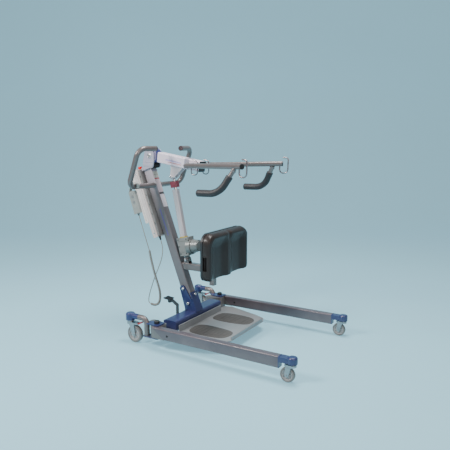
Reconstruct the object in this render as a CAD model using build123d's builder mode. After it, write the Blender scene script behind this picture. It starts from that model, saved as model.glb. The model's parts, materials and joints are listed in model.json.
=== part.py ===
"""Sit-to-stand patient lift: mast, powered boom, knee pad, spreading legs on four castors.

Frame: +X forward (the way the boom reaches), +Y to the lift's left, +Z up, floor at z = 0.
The origin is under the middle of the whole lift. Lengths are in millimetres.
"""
import os
from math import cos, hypot, pi, radians, sin, tan

from build123d import *

os.makedirs("parts", exist_ok=True)

# ---------------------------------------------------------------- driving dimensions
OVERALL_X = (-72.0, 1193.0)  # rearmost and foremost points, from the mast's line at pivot height
MAST_X = -sum(OVERALL_X) / 2  # puts the origin under the middle of the lift
MAST_LEAN = 21.0  # degrees that the mast leans back
MAST_DEPTH = 60.0
MAST_WIDTH = 55.0
MAST_WALL = 3.0
PIVOT = (60.0, 1052.0)  # boom pivot, x from the mast line and z
BOOM_DROP = 9.5  # degrees that the boom points down at rest
BOOM_BOX = (60.0, 61.0)  # width and height
HUB_RADIUS = 46.0
HUB_WIDTH = 62.0
CHEEK = 7.0  # thickness of the mast head's cheeks
ACTUATOR_FOOT = (309.0, 434.0)
ACTUATOR_EYE = (212.0, 925.0)
ARM_TUBE = 29.0
HANDLE_TUBE = 31.0
GRIP_TUBE = 25.0
FOAM = 38.0
TUBE_WALL = 2.0
WIRE = 8.0
ARM_ROOT = (341.0, 66.4, 998.2)  # corner of the elbow that leaves the boom's side
ARM_BEND = 32.0
ARM_TIP = (815.0, 237.0, 1009.0)
BEAM_X = (305.0, 394.0)  # crossbeam, rear and front face
BEAM_Z = (65.0, 125.0)
BEAM_HALF = 240.0
LEG_PIVOT = (330.0, 330.0)
LEG_Y = 361.0
LEG_TUBE = (40.0, 60.0)
LEG_END_X = 1100.0
FRONT_CASTOR = (1168.0, 361.0)
REAR_CASTOR = (150.0, 345.0)
REAR_TUBE_Z = 152.0
FRONT_WHEEL = 75.0
REAR_WHEEL = 100.0
PAD_X = (546.0, 607.0)
PAD_Z = (370.0, 640.0)
PAD_HALF = 218.0
POST = 30.0
CORD = 5.0
CURLY_CORD = 15.0
CLEAR = 0.5  # running clearance between sliding or turning faces


def at(x, y, z):
    """A point given from the mast line, moved to the lift's own frame."""
    return (x + MAST_X, y, z)


SIDES = (("left", 1), ("right", -1))


def save(part, name):
    part.label = name
    export_step(part, f"parts/{name}.step")


def box_between(low, high):
    """A plain box from one corner to the other."""
    middle = [(a + b) / 2 for a, b in zip(low, high)]
    with BuildPart(Plane(origin=middle)) as block:
        Box(*[b - a for a, b in zip(low, high)])
    return block.part


def rod_between(start, end, radius):
    """A round bar from one point to another."""
    run = Vector(*end) - Vector(*start)
    with BuildPart() as bar:
        with BuildSketch(Plane(origin=start, z_dir=run)):
            Circle(radius)
        extrude(amount=run.length)
    return bar.part


def bent_tube(points, radii, outer, wall=None):
    """A round bar, or a tube if it has a wall, along straight runs with rounded corners."""
    with BuildPart() as tube:
        with BuildLine() as route:
            if len(points) > 2:
                FilletPolyline(*points, radius=radii)
            else:
                Line(*points)
        start = route.line
        with BuildSketch(Plane(origin=start @ 0, z_dir=start % 0)):
            Circle(outer / 2)
            if wall:
                Circle(outer / 2 - wall, mode=Mode.SUBTRACT)
        sweep(path=route.line)
    return tube.part


def mast_plane(down, forward=0.0):
    """Plane across the mast, that far down it: local X is the mast's front, local Z runs up it."""
    s, c = sin(radians(MAST_LEAN)), cos(radians(MAST_LEAN))
    origin = at(down * s + forward * c, 0, PIVOT[1] - down * c + forward * s)
    return Plane(origin=origin, x_dir=(c, 0, s), z_dir=(-s, 0, c))


def on_mast(forward, down):
    """Side-view place (x, z) of a point that far forward of the mast's axis and down it."""
    s, c = sin(radians(MAST_LEAN)), cos(radians(MAST_LEAN))
    return (down * s + forward * c, PIVOT[1] - down * c + forward * s)


def boom_plane(y=0.0):
    """Upright plane along the boom from its pivot: local X runs along it, facing -Y."""
    drop = radians(BOOM_DROP)
    return Plane(origin=at(PIVOT[0], y, PIVOT[1]), x_dir=(cos(drop), 0, -sin(drop)), z_dir=(0, -1, 0))


def side_plate(circles, y_low, y_high):
    """A plate standing along the lift, whose outline is the hull of circles (x, z, radius)."""
    with BuildPart() as plate:
        with BuildSketch(Plane.XZ.offset(-y_high)) as outline:
            for x, z, radius in circles:
                with Locations((x + MAST_X, z)):
                    Circle(radius)
            make_hull(outline.sketch_local.edges())
        extrude(amount=y_high - y_low)
    return plate.part


def flat_plate(circles, z_low, z_high):
    """A level plate whose outline is the hull of circles (x, y, radius)."""
    with BuildPart() as plate:
        with BuildSketch(Plane.XY.offset(z_low)) as outline:
            for x, y, radius in circles:
                with Locations((x + MAST_X, y)):
                    Circle(radius)
            make_hull(outline.sketch_local.edges())
        extrude(amount=z_high - z_low)
    return plate.part


def mirrored(part):
    """The same piece on the other side of the lift."""
    return mirror(part, about=Plane.XZ)


def pair(part):
    return Compound([part, mirrored(part)])


# ---------------------------------------------------------------- base: crossbeam and bracket
BEAM_WALL = 3.0
PLATE = 6.0
BOLT = 6.0  # radius of the leg pivot bolts
LUG_Z = (50.0, 56.0)
LUG_PAD_Y = 210.0
REST_BAR_Z = (50.0, 57.0)  # the two bars under the footplate
REST_BAR_Y = 150.0
BAR_FROM, BAR_TO = BEAM_X[0] + 40, 600.0
beam_depth = BEAM_X[1] - BEAM_X[0]
beam_height = BEAM_Z[1] - BEAM_Z[0]
beam_middle = at((BEAM_X[0] + BEAM_X[1]) / 2, -BEAM_HALF, (BEAM_Z[0] + BEAM_Z[1]) / 2)

lugs = []
for side, sign in SIDES:
    px, py = LEG_PIVOT
    lug = flat_plate(
        [(px - 66, sign * (py + 20), 14), (px + 14, sign * (py + 20), 14),
         (px + 20, sign * (py - 90), 14), (px - 8, sign * (py - 90), 14)], *LUG_Z)
    lug_low, lug_high = sign * LUG_PAD_Y - 22, sign * LUG_PAD_Y + 22
    bar_low, bar_high = sign * REST_BAR_Y - 15, sign * REST_BAR_Y + 15
    pad = box_between(at(BEAM_X[0] + 6, lug_low, LUG_Z[1]), at(BEAM_X[1] - 20, lug_high, BEAM_Z[0]))
    rest_bar = box_between(at(BAR_FROM, bar_low, REST_BAR_Z[0]), at(BAR_TO, bar_high, REST_BAR_Z[1]))
    bar_pad = box_between(at(BAR_FROM, bar_low, REST_BAR_Z[1]), at(BEAM_X[1] - 5, bar_high, BEAM_Z[0]))
    lugs += [lug, pad, rest_bar, bar_pad]

with BuildPart() as base_crossbeam:
    with BuildSketch(Plane(origin=beam_middle, x_dir=(1, 0, 0), z_dir=(0, 1, 0))):
        RectangleRounded(beam_depth, beam_height, 12)
        RectangleRounded(beam_depth - 2 * BEAM_WALL, beam_height - 2 * BEAM_WALL, 9, mode=Mode.SUBTRACT)
    extrude(amount=2 * BEAM_HALF)
    for piece in lugs:
        add(piece)
    with BuildSketch(Plane.XY.offset(LUG_Z[0])):
        for side, sign in SIDES:
            with Locations(at(LEG_PIVOT[0], sign * LEG_PIVOT[1], 0)):
                Circle(BOLT + 0.1)
    extrude(amount=PLATE, mode=Mode.SUBTRACT)
    for side, sign in SIDES:
        middle = at((BEAM_X[0] + BEAM_X[1]) / 2, sign * (BEAM_HALF - 3), (BEAM_Z[0] + BEAM_Z[1]) / 2)
        with BuildSketch(Plane(origin=middle, x_dir=(1, 0, 0), z_dir=(0, sign, 0))):
            RectangleRounded(beam_depth - 2, beam_height - 2, 11)
        extrude(amount=3)
save(base_crossbeam.part, "base_crossbeam")

# The bracket folds round the foot of the mast: a cheek on each side and a strap up the front.
BRACKET_GAP = MAST_WIDTH / 2 + 0.2
with BuildPart() as bracket_strap:
    with BuildSketch(Plane.XZ.offset(-(BRACKET_GAP + PLATE))):
        with BuildLine():
            Polyline(
                (395.5 + MAST_X, BEAM_Z[1]), (388.8 + MAST_X, BEAM_Z[1]),
                (on_mast(30.4, 885)[0] + MAST_X, on_mast(30.4, 885)[1]),
                (on_mast(36.4, 885)[0] + MAST_X, on_mast(36.4, 885)[1]),
                close=True,
            )
        make_face()
    extrude(amount=2 * (BRACKET_GAP + PLATE))
bracket_outline = [(293, 255, 20), (320, BEAM_Z[1] + 12, 12), (380, BEAM_Z[1] + 12, 12)]
bracket_cheeks = []
for y in (-BRACKET_GAP - PLATE, BRACKET_GAP):
    cheek = side_plate(bracket_outline, y, y + PLATE)
    foot = box_between(at(308, y, BEAM_Z[1]), at(392, y + PLATE, BEAM_Z[1] + 14))
    bracket_cheeks += [cheek, foot]
with BuildPart() as mast_bracket:
    for piece in bracket_cheeks:
        add(piece)
    add(bracket_strap.part)
save(mast_bracket.part, "mast_bracket")

# Dome-headed bolts through the bracket and the mast, with one in the front strap.
HEAD_R, HEAD_H = 9.0, 6.0
with BuildPart() as bracket_bolts:
    for x, z in ((299, 256), (335, 169)):
        for sign in (1, -1):
            with BuildSketch(Plane(origin=at(x, sign * (BRACKET_GAP + PLATE), z), z_dir=(0, sign, 0))):
                Circle(HEAD_R)
            extrude(amount=HEAD_H)
    strap_bolt = on_mast(36.6, 903)
    lean = radians(MAST_LEAN)
    with BuildSketch(Plane(origin=at(strap_bolt[0], 0, strap_bolt[1]), z_dir=(cos(lean), 0, sin(lean)))):
        Circle(HEAD_R)
    extrude(amount=HEAD_H)
    head_rims = bracket_bolts.edges().filter_by(GeomType.CIRCLE)
    fillet(head_rims.filter_by(lambda e: e.radius > HEAD_R - 0.1), 2.0)

# ---------------------------------------------------------------- mast
MAST_TOP = 74.0  # down the mast from boom-pivot height
MAST_FOOT = 1010.0
with BuildPart() as mast:
    with BuildSketch(mast_plane(MAST_FOOT)):
        RectangleRounded(MAST_DEPTH, MAST_WIDTH, 6)
        RectangleRounded(MAST_DEPTH - 2 * MAST_WALL, MAST_WIDTH - 2 * MAST_WALL, 3, mode=Mode.SUBTRACT)
    extrude(amount=MAST_FOOT - MAST_TOP)
    split(bisect_by=Plane.XY.offset(BEAM_Z[1]), keep=Keep.TOP)
save(mast.part, "mast")

cheek_in = HUB_WIDTH / 2 + CLEAR
cheek_out = cheek_in + CHEEK
cheek_outline = [(*PIVOT, 33), (38, 1061, 17), (18, 1014, 9), (16, 990, 8), (78, 988, 8), (83, 1012, 8)]
head_cheeks = [side_plate(cheek_outline, y, y + CHEEK) for y in (-cheek_out, cheek_in)]
with BuildPart() as mast_head:
    for piece in head_cheeks:
        add(piece)
    with BuildSketch(mast_plane(90)):
        RectangleRounded(72, 2 * cheek_out + 2, 6)
        RectangleRounded(MAST_DEPTH, MAST_WIDTH, 6, mode=Mode.SUBTRACT)
    extrude(amount=16)
    with BuildSketch(mast_plane(MAST_TOP)):
        RectangleRounded(72, 2 * cheek_out + 2, 6)
    extrude(amount=4)
    with BuildSketch(Plane.XZ.offset(-cheek_out)):
        with Locations((PIVOT[0] + MAST_X, PIVOT[1])):
            Circle(8.1)
    extrude(amount=2 * cheek_out, mode=Mode.SUBTRACT)
save(mast_head.part, "mast_head")


def cross_bolt(x, z, half_length, shank, head, head_height):
    """A bolt across the lift with a low round head at each end."""
    with BuildPart() as bolt:
        with BuildSketch(Plane.XZ.offset(-half_length)):
            with Locations((x + MAST_X, z)):
                Circle(shank)
        extrude(amount=2 * half_length)
        for sign in (1, -1):
            with BuildSketch(Plane(origin=at(x, sign * half_length, z), z_dir=(0, sign, 0))):
                Circle(head)
            extrude(amount=head_height, taper=20)
    return bolt.part


CLEVIS_OUT = 18.0  # outer face of the actuator's lower clevis
pivot_bolt = cross_bolt(*PIVOT, cheek_out, 8, 15, 8)
actuator_pin = cross_bolt(*ACTUATOR_FOOT, CLEVIS_OUT, 6, 10, 6)
ROCKER = (0.0, 95.0)  # y and z of the pedal rocker's pivot
rocker_bolt = rod_between(at(284, *ROCKER), at(BEAM_X[0], *ROCKER), 6)
rocker_head = rod_between(at(279, *ROCKER), at(284, *ROCKER), 10)
rocker_pin = rocker_bolt.fuse(rocker_head)
save(Compound([*bracket_bolts.part.solids(), pivot_bolt, actuator_pin, rocker_pin]), "frame_bolts")

# ---------------------------------------------------------------- push handles
HANDLE_PATH = [(178, 124, 1095), (163, 256, 1096), (79, 252, 876), (90, MAST_WIDTH / 2 - 2, 874)]
handle_tube = bent_tube([at(*point) for point in HANDLE_PATH], [52, 48], HANDLE_TUBE, TUBE_WALL)
mast_side = box_between(at(20, 0, 800), at(200, MAST_WIDTH / 2, 950))
save(pair(handle_tube.cut(mast_side)), "push_handles")

with BuildPart() as handle_plugs:
    for side, sign in SIDES:
        grip_end = Vector(*at(178, sign * 124, 1095))
        inward = (grip_end - Vector(*at(163, sign * 256, 1096))).normalized()
        with BuildSketch(Plane(origin=grip_end, z_dir=inward)):
            Circle(HANDLE_TUBE / 2)
        extrude(amount=5)
        with BuildSketch(Plane(origin=grip_end, z_dir=-inward)):
            Circle(HANDLE_TUBE / 2 - TUBE_WALL - 0.05)
        extrude(amount=12)
save(handle_plugs.part, "handle_end_plugs")

# ---------------------------------------------------------------- boom
BOOM_REAR, BOOM_FRONT = 56.0, 362.0


def across_boom(along):
    """Plane across the boom: local X is up the section, local Y across the lift."""
    drop = radians(BOOM_DROP)
    origin = at(PIVOT[0] + along * cos(drop), 0, PIVOT[1] - along * sin(drop))
    return Plane(origin=origin, x_dir=(sin(drop), 0, cos(drop)), z_dir=(cos(drop), 0, -sin(drop)))


with BuildPart() as boom_hub:
    with BuildSketch(boom_plane(HUB_WIDTH / 2)):
        Circle(HUB_RADIUS)
    extrude(amount=HUB_WIDTH)
    with BuildSketch(across_boom(25)):
        Rectangle(56, 56)
    extrude(amount=BOOM_REAR - 25)
    with BuildSketch(boom_plane(HUB_WIDTH / 2)):
        Circle(8.05)
    extrude(amount=HUB_WIDTH, mode=Mode.SUBTRACT)
save(boom_hub.part, "boom_hub")

HOOK_BAR_X = 402.0
HOOK_BAR_Z = 1000.0
HOOK_BAR = 8.0
bar_line = [at(HOOK_BAR_X, y, HOOK_BAR_Z) for y in (-BOOM_BOX[0], BOOM_BOX[0])]
with BuildPart() as boom:
    with BuildSketch(across_boom(BOOM_REAR)):
        RectangleRounded(BOOM_BOX[1], BOOM_BOX[0], 5)
        RectangleRounded(BOOM_BOX[1] - 6, BOOM_BOX[0] - 6, 2, mode=Mode.SUBTRACT)
    extrude(amount=BOOM_FRONT - BOOM_REAR)
save(boom.part.cut(rod_between(*bar_line, HOOK_BAR)), "boom")

GUSSET = 4.0
GUSSET_IN = 15.0
gusset_outline = [(*ACTUATOR_EYE, 13), (212, 990, 4), (282, 978, 4)]
gusset_sides = [side_plate(gusset_outline, y, y + GUSSET) for y in (-GUSSET_IN - GUSSET, GUSSET_IN)]
with BuildPart() as boom_gusset:
    for piece in gusset_sides:
        add(piece)
    with BuildSketch(across_boom(150)):
        with Locations((-BOOM_BOX[1] / 2 - 3, 0)):
            Rectangle(6, 2 * (GUSSET_IN + GUSSET))
    extrude(amount=78)
    with BuildSketch(Plane.XZ.offset(-40)):
        with Locations((ACTUATOR_EYE[0] + MAST_X, ACTUATOR_EYE[1])):
            Circle(5.1)
    extrude(amount=80, mode=Mode.SUBTRACT)
    with BuildSketch(across_boom(100)):
        Rectangle(BOOM_BOX[1], BOOM_BOX[0])
    extrude(amount=180, mode=Mode.SUBTRACT)
save(boom_gusset.part, "boom_gusset")

# The clevis pin is two stub bolts, one in each gusset cheek, with the rod eye free between them.
with BuildPart() as boom_clevis_bolts:
    for sign in (1, -1):
        eye_x, eye_z = ACTUATOR_EYE
        inner_end = at(eye_x, sign * (GUSSET_IN - 1), eye_z)
        head_seat = at(eye_x, sign * (GUSSET_IN + GUSSET), eye_z)
        with BuildSketch(Plane(origin=inner_end, z_dir=(0, sign, 0))):
            Circle(5)
        extrude(amount=GUSSET + 1)
        with BuildSketch(Plane(origin=head_seat, z_dir=(0, sign, 0))):
            RegularPolygon(10, 6)
        extrude(amount=8)
save(boom_clevis_bolts.part, "boom_clevis_bolts")

# ---------------------------------------------------------------- sling arms, grips, hooks
GRIP_PATH = [(764, 219.5, 996), (690, 252, 868), (559, 253, 866)]
GRIP_BEND = 100.0
FOAM_START = 0.30  # share of the first run where the foam begins
arm_start = at(ARM_ROOT[0], BOOM_BOX[0] / 2, ARM_ROOT[2])
arm_tube = bent_tube([arm_start, at(*ARM_ROOT), at(*ARM_TIP)], [ARM_BEND], ARM_TUBE, TUBE_WALL)
grip_points = [at(*point) for point in GRIP_PATH]
grip_tube = bent_tube(grip_points, [GRIP_BEND], GRIP_TUBE)
save(pair(arm_tube.fuse(grip_tube)), "sling_arms")

first, corner, last = [Vector(*point) for point in grip_points]
foam_start = first + (corner - first) * FOAM_START
foam_end = last + (last - corner).normalized() * 6
foam_sleeve = bent_tube([tuple(foam_start), tuple(corner), tuple(foam_end)], [GRIP_BEND], FOAM)
save(pair(foam_sleeve.cut(grip_tube)), "foam_grips")

with BuildPart() as arm_plugs:
    for side, sign in SIDES:
        root = Vector(*at(ARM_ROOT[0], sign * ARM_ROOT[1], ARM_ROOT[2]))
        tip = Vector(*at(ARM_TIP[0], sign * ARM_TIP[1], ARM_TIP[2]))
        along = (tip - root).normalized()
        with BuildSketch(Plane(origin=tip, z_dir=along)):
            Circle(ARM_TUBE / 2)
        extrude(amount=5)
        with BuildSketch(Plane(origin=tip, z_dir=-along)):
            Circle(ARM_TUBE / 2 - TUBE_WALL - 0.05)
        extrude(amount=12)
    with BuildSketch(across_boom(BOOM_FRONT)):
        RectangleRounded(BOOM_BOX[1], BOOM_BOX[0], 5)
    extrude(amount=4)
    with BuildSketch(across_boom(BOOM_FRONT - 5)):
        RectangleRounded(BOOM_BOX[1] - 6.4, BOOM_BOX[0] - 6.4, 2)
    extrude(amount=5)
save(arm_plugs.part, "arm_end_plugs")


def wire_hook(x, y, z, turn):
    """An open J hook of round wire: down under the bar, up in front of it and back over its end."""
    forward = (cos(radians(turn)), sin(radians(turn)))
    side_view = [(-14, -8), (-16, -54), (33, -54), (36, 33), (4, 36)]
    points = [at(x + u * forward[0], y + u * forward[1], z + v) for u, v in side_view]
    return bent_tube(points, [22, 23, 13], WIRE)


ARM_HOOK_TURN = 10.0  # degrees that each hook turns outwards
hooks = []
for side, sign in SIDES:
    arm_line = [at(x, sign * y, z) for x, y, z in (ARM_ROOT, ARM_TIP)]
    hook = wire_hook(ARM_TIP[0], sign * ARM_TIP[1], ARM_TIP[2], sign * ARM_HOOK_TURN)
    hooks.append(hook.cut(rod_between(*arm_line, ARM_TUBE / 2)))
save(Compound(hooks), "arm_hooks")

slope = (ARM_TIP[1] - ARM_ROOT[1]) / (ARM_TIP[0] - ARM_ROOT[0])
bar_reach = ARM_ROOT[1] + (HOOK_BAR_X - ARM_ROOT[0]) * slope - ARM_TUBE / 2 + 1
bar_ends = [at(HOOK_BAR_X, side * bar_reach, HOOK_BAR_Z) for side in (-1, 1)]
save(rod_between(*bar_ends, HOOK_BAR), "hook_bar")


def small_hook(y):
    """A smaller J hook that hangs from the cross bar."""
    side_view = [(0, 0), (-19, -12), (-19, -54), (24, -54), (24, 22), (-8, 32)]
    points = [at(HOOK_BAR_X + u, y, HOOK_BAR_Z + v) for u, v in side_view]
    return bent_tube(points, [9, 20, 20, 13], 6.5)


bar_solid = rod_between(*bar_ends, HOOK_BAR)
save(Compound([small_hook(y).cut(bar_solid) for y in (58, -58)]), "bar_hooks")

# ---------------------------------------------------------------- lift actuator
foot_x, foot_z = ACTUATOR_FOOT
reach = hypot(ACTUATOR_EYE[0] - foot_x, ACTUATOR_EYE[1] - foot_z)
ux, uz = (ACTUATOR_EYE[0] - foot_x) / reach, (ACTUATOR_EYE[1] - foot_z) / reach
TUBE_FROM, TUBE_TO = 134.0, 424.0
HOUSING_FROM, HOUSING_TO = 24.0, 134.0
PROFILE = 38.0
ROD = 10.0  # radius of the piston rod
ROD_FROM = 160.0
COLLAR = (438.0, 474.0)  # from and to, along the actuator from its lower pin
EYE_HALF = 11.0


def across_actuator(along):
    """Plane across the actuator, that far from its lower pin: local X points forward."""
    origin = at(foot_x + along * ux, 0, foot_z + along * uz)
    return Plane(origin=origin, x_dir=(uz, 0, -ux), z_dir=(ux, 0, uz))


with BuildPart() as actuator_housing:
    with BuildSketch(across_actuator(HOUSING_FROM)):
        with Locations((2, 0)):
            RectangleRounded(66, 60, 8)
    with BuildSketch(across_actuator(HOUSING_TO)):
        with Locations((8, 0)):
            RectangleRounded(90, 64, 8)
    loft()
    with BuildSketch(across_actuator(-15)):
        Rectangle(26, 20)
    extrude(amount=HOUSING_FROM + 15)
    with BuildSketch(Plane(origin=at(foot_x, 10, foot_z), x_dir=(1, 0, 0), z_dir=(0, -1, 0))):
        Circle(15)
    extrude(amount=20)
    with BuildSketch(Plane(origin=at(foot_x, 40, foot_z), x_dir=(1, 0, 0), z_dir=(0, -1, 0))):
        Circle(6.05)
    extrude(amount=80, mode=Mode.SUBTRACT)
save(actuator_housing.part, "actuator_housing")

MOTOR_TILT = 8.0
motor_dir = (cos(radians(MOTOR_TILT)), 0, sin(radians(MOTOR_TILT)))
with BuildPart() as motor_body:
    with BuildSketch(Plane(origin=at(322, 0, 513), z_dir=motor_dir)):
        Circle(46)
    with BuildSketch(Plane(origin=at(322 + 74, 0, 513 + 13), z_dir=motor_dir)):
        Circle(34)
    loft()
save(motor_body.part.cut(actuator_housing.part).solids().sort_by(Axis.X)[-1], "actuator_motor")

with BuildPart() as actuator_tube:
    with BuildSketch(across_actuator(TUBE_FROM)):
        RectangleRounded(PROFILE, PROFILE, 12)
        Circle(ROD + 4, mode=Mode.SUBTRACT)
    extrude(amount=TUBE_TO - TUBE_FROM)
save(actuator_tube.part, "actuator_tube")

with BuildPart() as actuator_rod:
    with BuildSketch(across_actuator(ROD_FROM)):
        Circle(ROD)
    extrude(amount=COLLAR[0] - ROD_FROM)
    with BuildSketch(across_actuator(COLLAR[0])):
        Circle(7)
    extrude(amount=reach - 12 - COLLAR[0])
    eye_side = at(ACTUATOR_EYE[0], EYE_HALF, ACTUATOR_EYE[1])
    with BuildSketch(Plane(origin=eye_side, x_dir=(1, 0, 0), z_dir=(0, -1, 0))):
        Circle(14)
    extrude(amount=2 * EYE_HALF)
save(actuator_rod.part, "actuator_rod")

with BuildPart() as lowering_collar:
    with BuildSketch(across_actuator(COLLAR[0] + 0.3)):
        Circle(27)
        Circle(7.08, mode=Mode.SUBTRACT)
    extrude(amount=COLLAR[1] - COLLAR[0] - 0.6)
    with BuildSketch(across_actuator(COLLAR[0] + 0.3)):
        with PolarLocations(27, 24):
            Circle(1.4)
    extrude(amount=COLLAR[1] - COLLAR[0] - 0.6, mode=Mode.SUBTRACT)
save(lowering_collar.part, "lowering_collar")

# ---------------------------------------------------------------- knee arm and knee pad
ARM_Z = (371.0, 413.0)
ARM_HALF = 20.0
POST_X = 490.0
SLEEVE = 40.0
SLEEVE_Z = (345.0, 440.0)
POST_Z = (298.0, 566.0)
with BuildPart() as knee_arm:
    with BuildSketch(Plane.YZ.offset(255 + MAST_X)):
        with Locations((0, (ARM_Z[0] + ARM_Z[1]) / 2)):
            RectangleRounded(2 * ARM_HALF, ARM_Z[1] - ARM_Z[0], 5)
            RectangleRounded(2 * ARM_HALF - 6, ARM_Z[1] - ARM_Z[0] - 6, 2, mode=Mode.SUBTRACT)
    extrude(amount=POST_X - SLEEVE / 2 - 255)
    mast_front = mast_plane(600, MAST_DEPTH / 2)
    split(bisect_by=Plane(origin=mast_front.origin, z_dir=mast_front.x_dir), keep=Keep.TOP)
    with BuildSketch(Plane.XY.offset(SLEEVE_Z[0])):
        with Locations((POST_X + MAST_X, 0)):
            RectangleRounded(SLEEVE, SLEEVE, 4)
    extrude(amount=SLEEVE_Z[1] - SLEEVE_Z[0])
    with BuildSketch(Plane.XY.offset(SLEEVE_Z[0])):
        with Locations((POST_X + MAST_X, 0)):
            Rectangle(POST + 2 * CLEAR, POST + 2 * CLEAR)
    extrude(amount=SLEEVE_Z[1] - SLEEVE_Z[0], mode=Mode.SUBTRACT)
ear_outline = [(*ACTUATOR_FOOT, 14), (foot_x - 6, ARM_Z[1] - 3, 8), (foot_x + 12, ARM_Z[1] - 3, 8)]
ears = []
for y in (-CLEVIS_OUT, CLEVIS_OUT - 6):
    ear = side_plate(ear_outline, y, y + 6)
    hole = rod_between(at(foot_x, y, foot_z), at(foot_x, y + 6, foot_z), 6.1)
    inside = box_between(at(foot_x - 40, y, ARM_Z[1] - 30), at(foot_x + 40, y + 6, ARM_Z[1] - 3))
    ears.append(ear.cut(hole, inside))
save(knee_arm.part.fuse(*ears), "knee_arm")

KNOB_Z = 392.0
with BuildPart() as knee_knob:
    with BuildSketch(Plane(origin=at(POST_X, SLEEVE / 2 + 0.3, KNOB_Z), z_dir=(0, 1, 0))):
        Circle(9)
    extrude(amount=12)
    with BuildSketch(Plane(origin=at(POST_X, SLEEVE / 2 + 12, KNOB_Z), z_dir=(0, 1, 0))):
        Circle(18)
        with PolarLocations(20, 6):
            Circle(5)
    extrude(amount=15)
save(knee_knob.part, "knee_height_knob")

SHELL_X = (546.0, 560.0)
with BuildPart() as knee_post:
    with BuildSketch(Plane.XY.offset(POST_Z[0])):
        with Locations((POST_X + MAST_X, 0)):
            Rectangle(POST, POST)
            Rectangle(POST - 5, POST - 5, mode=Mode.SUBTRACT)
    extrude(amount=POST_Z[1] - POST_Z[0])
bracket_bar = box_between(at(POST_X + POST / 2, -60, 516), at(SHELL_X[0], 60, POST_Z[1]))
save(knee_post.part.fuse(bracket_bar), "knee_pad_post")


PAD_TOP_ROUND, PAD_LOW_ROUND = 60.0, 40.0  # radii of the pad's upper and lower outer corners


def pad_block(inset, x_low, x_high):
    """A slab of the pad's outline, from one x to another, drawn in by the inset."""
    corners = []
    for sign in (1, -1):
        corners.append((sign * (PAD_HALF - PAD_TOP_ROUND), PAD_Z[1] - PAD_TOP_ROUND, PAD_TOP_ROUND))
        corners.append((sign * (PAD_HALF - PAD_LOW_ROUND), PAD_Z[0] + PAD_LOW_ROUND, PAD_LOW_ROUND))
    with BuildPart() as block:
        with BuildSketch(Plane.YZ.offset(x_low + MAST_X)) as outline:
            for y, z, radius in corners:
                with Locations((y, z)):
                    Circle(radius - inset)
            make_hull(outline.sketch_local.edges())
        extrude(amount=x_high - x_low)
    return block.part


STRAP_SLOT_X = (563.0, 589.0)
STRAP_SLOT_Z = (434.0, 514.0)
STRAP_SLOT_DEPTH = 24.0
slots = []
for side, sign in SIDES:
    low_y, high_y = sorted((sign * (PAD_HALF + 2), sign * (PAD_HALF - STRAP_SLOT_DEPTH)))
    slot_low = at(STRAP_SLOT_X[0], low_y, STRAP_SLOT_Z[0])
    slots.append(box_between(slot_low, at(STRAP_SLOT_X[1], high_y, STRAP_SLOT_Z[1])))
save(pad_block(3, *SHELL_X), "knee_pad_shell")
save(pad_block(0, SHELL_X[1] + 0.3, PAD_X[1]).cut(*slots), "knee_pad")

# ---------------------------------------------------------------- control box, battery, handset
BOX_HALF = 65.0
BOX_DEEP = (-88.0, -50.3)  # forward of the mast's axis
BOX_DOWN = (72.0, 503.0)
RAIL_DEEP = (-50.3, -36.3)
BATTERY_HALF = 60.0


def on_mast_block(deep, down, half, corner):
    """A box standing along the mast: its depth, its reach down the mast, half its width."""
    with BuildPart() as block:
        with BuildSketch(mast_plane(down[1], (deep[0] + deep[1]) / 2)):
            RectangleRounded(deep[1] - deep[0], 2 * half, corner)
        extrude(amount=down[1] - down[0])
    return block.part


rail = on_mast_block(RAIL_DEEP, (80, 496), 58, 2)
stand_off = on_mast_block((RAIL_DEEP[1], -MAST_DEPTH / 2), (110, 480), 20, 1)
save(rail.fuse(stand_off), "control_box_rail")

# The emergency stop stands on the box's top; its stem slides in a shallow bore.
STOP_DEEP, STOP_Y = -62.0, -12.0
STOP_STEM = 7.0
STOP_TRAVEL = 2.5
STOP_GAP = 3.0
up_mast = mast_plane(0).z_dir
stop_seat = mast_plane(BOX_DOWN[0], STOP_DEEP).origin + Vector(0, STOP_Y, 0)
stop_bore = rod_between(tuple(stop_seat - up_mast * 9), tuple(stop_seat + up_mast), STOP_STEM + 0.1)
save(on_mast_block(BOX_DEEP, BOX_DOWN, BOX_HALF, 8).cut(stop_bore), "control_box")

# The battery's side view: a grip that swells out at its top, then a flat case.
battery_side = [(-88.3, 84), (-98, 84), (-124, 122), (-124, 136), (-112, 158), (-112, 402), (-88.3, 402)]
with BuildPart() as battery_pack:
    with BuildSketch(Plane.XZ.offset(-BATTERY_HALF)):
        with BuildLine():
            side_points = [on_mast(forward, down) for forward, down in battery_side]
            Polyline(*[(x + MAST_X, z) for x, z in side_points], close=True)
        make_face()
    extrude(amount=2 * BATTERY_HALF)
save(battery_pack.part, "battery_pack")

stop_under = stop_seat + up_mast * STOP_GAP
with BuildPart() as emergency_stop:
    with BuildSketch(Plane(origin=stop_under, z_dir=up_mast)):
        Circle(STOP_STEM)
    extrude(amount=-(STOP_GAP + 5))
    with BuildSketch(Plane(origin=stop_under, z_dir=up_mast)):
        Circle(13)
    extrude(amount=13)
save(emergency_stop.part, "emergency_stop")

GLAND_DEEP, GLAND_Y, GLAND_END = -46.0, -50.0, 527.0
gland_exit = mast_plane(GLAND_END, GLAND_DEEP).origin + Vector(0, GLAND_Y, 0)
gland_top = mast_plane(BOX_DOWN[1], GLAND_DEEP).origin + Vector(0, GLAND_Y, 0)
with BuildPart() as cable_gland:
    with BuildSketch(Plane(origin=gland_top, z_dir=-up_mast)):
        Circle(7)
    with BuildSketch(Plane(origin=gland_exit, z_dir=-up_mast)):
        Circle(4)
    loft()
save(cable_gland.part, "cable_gland")

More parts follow.
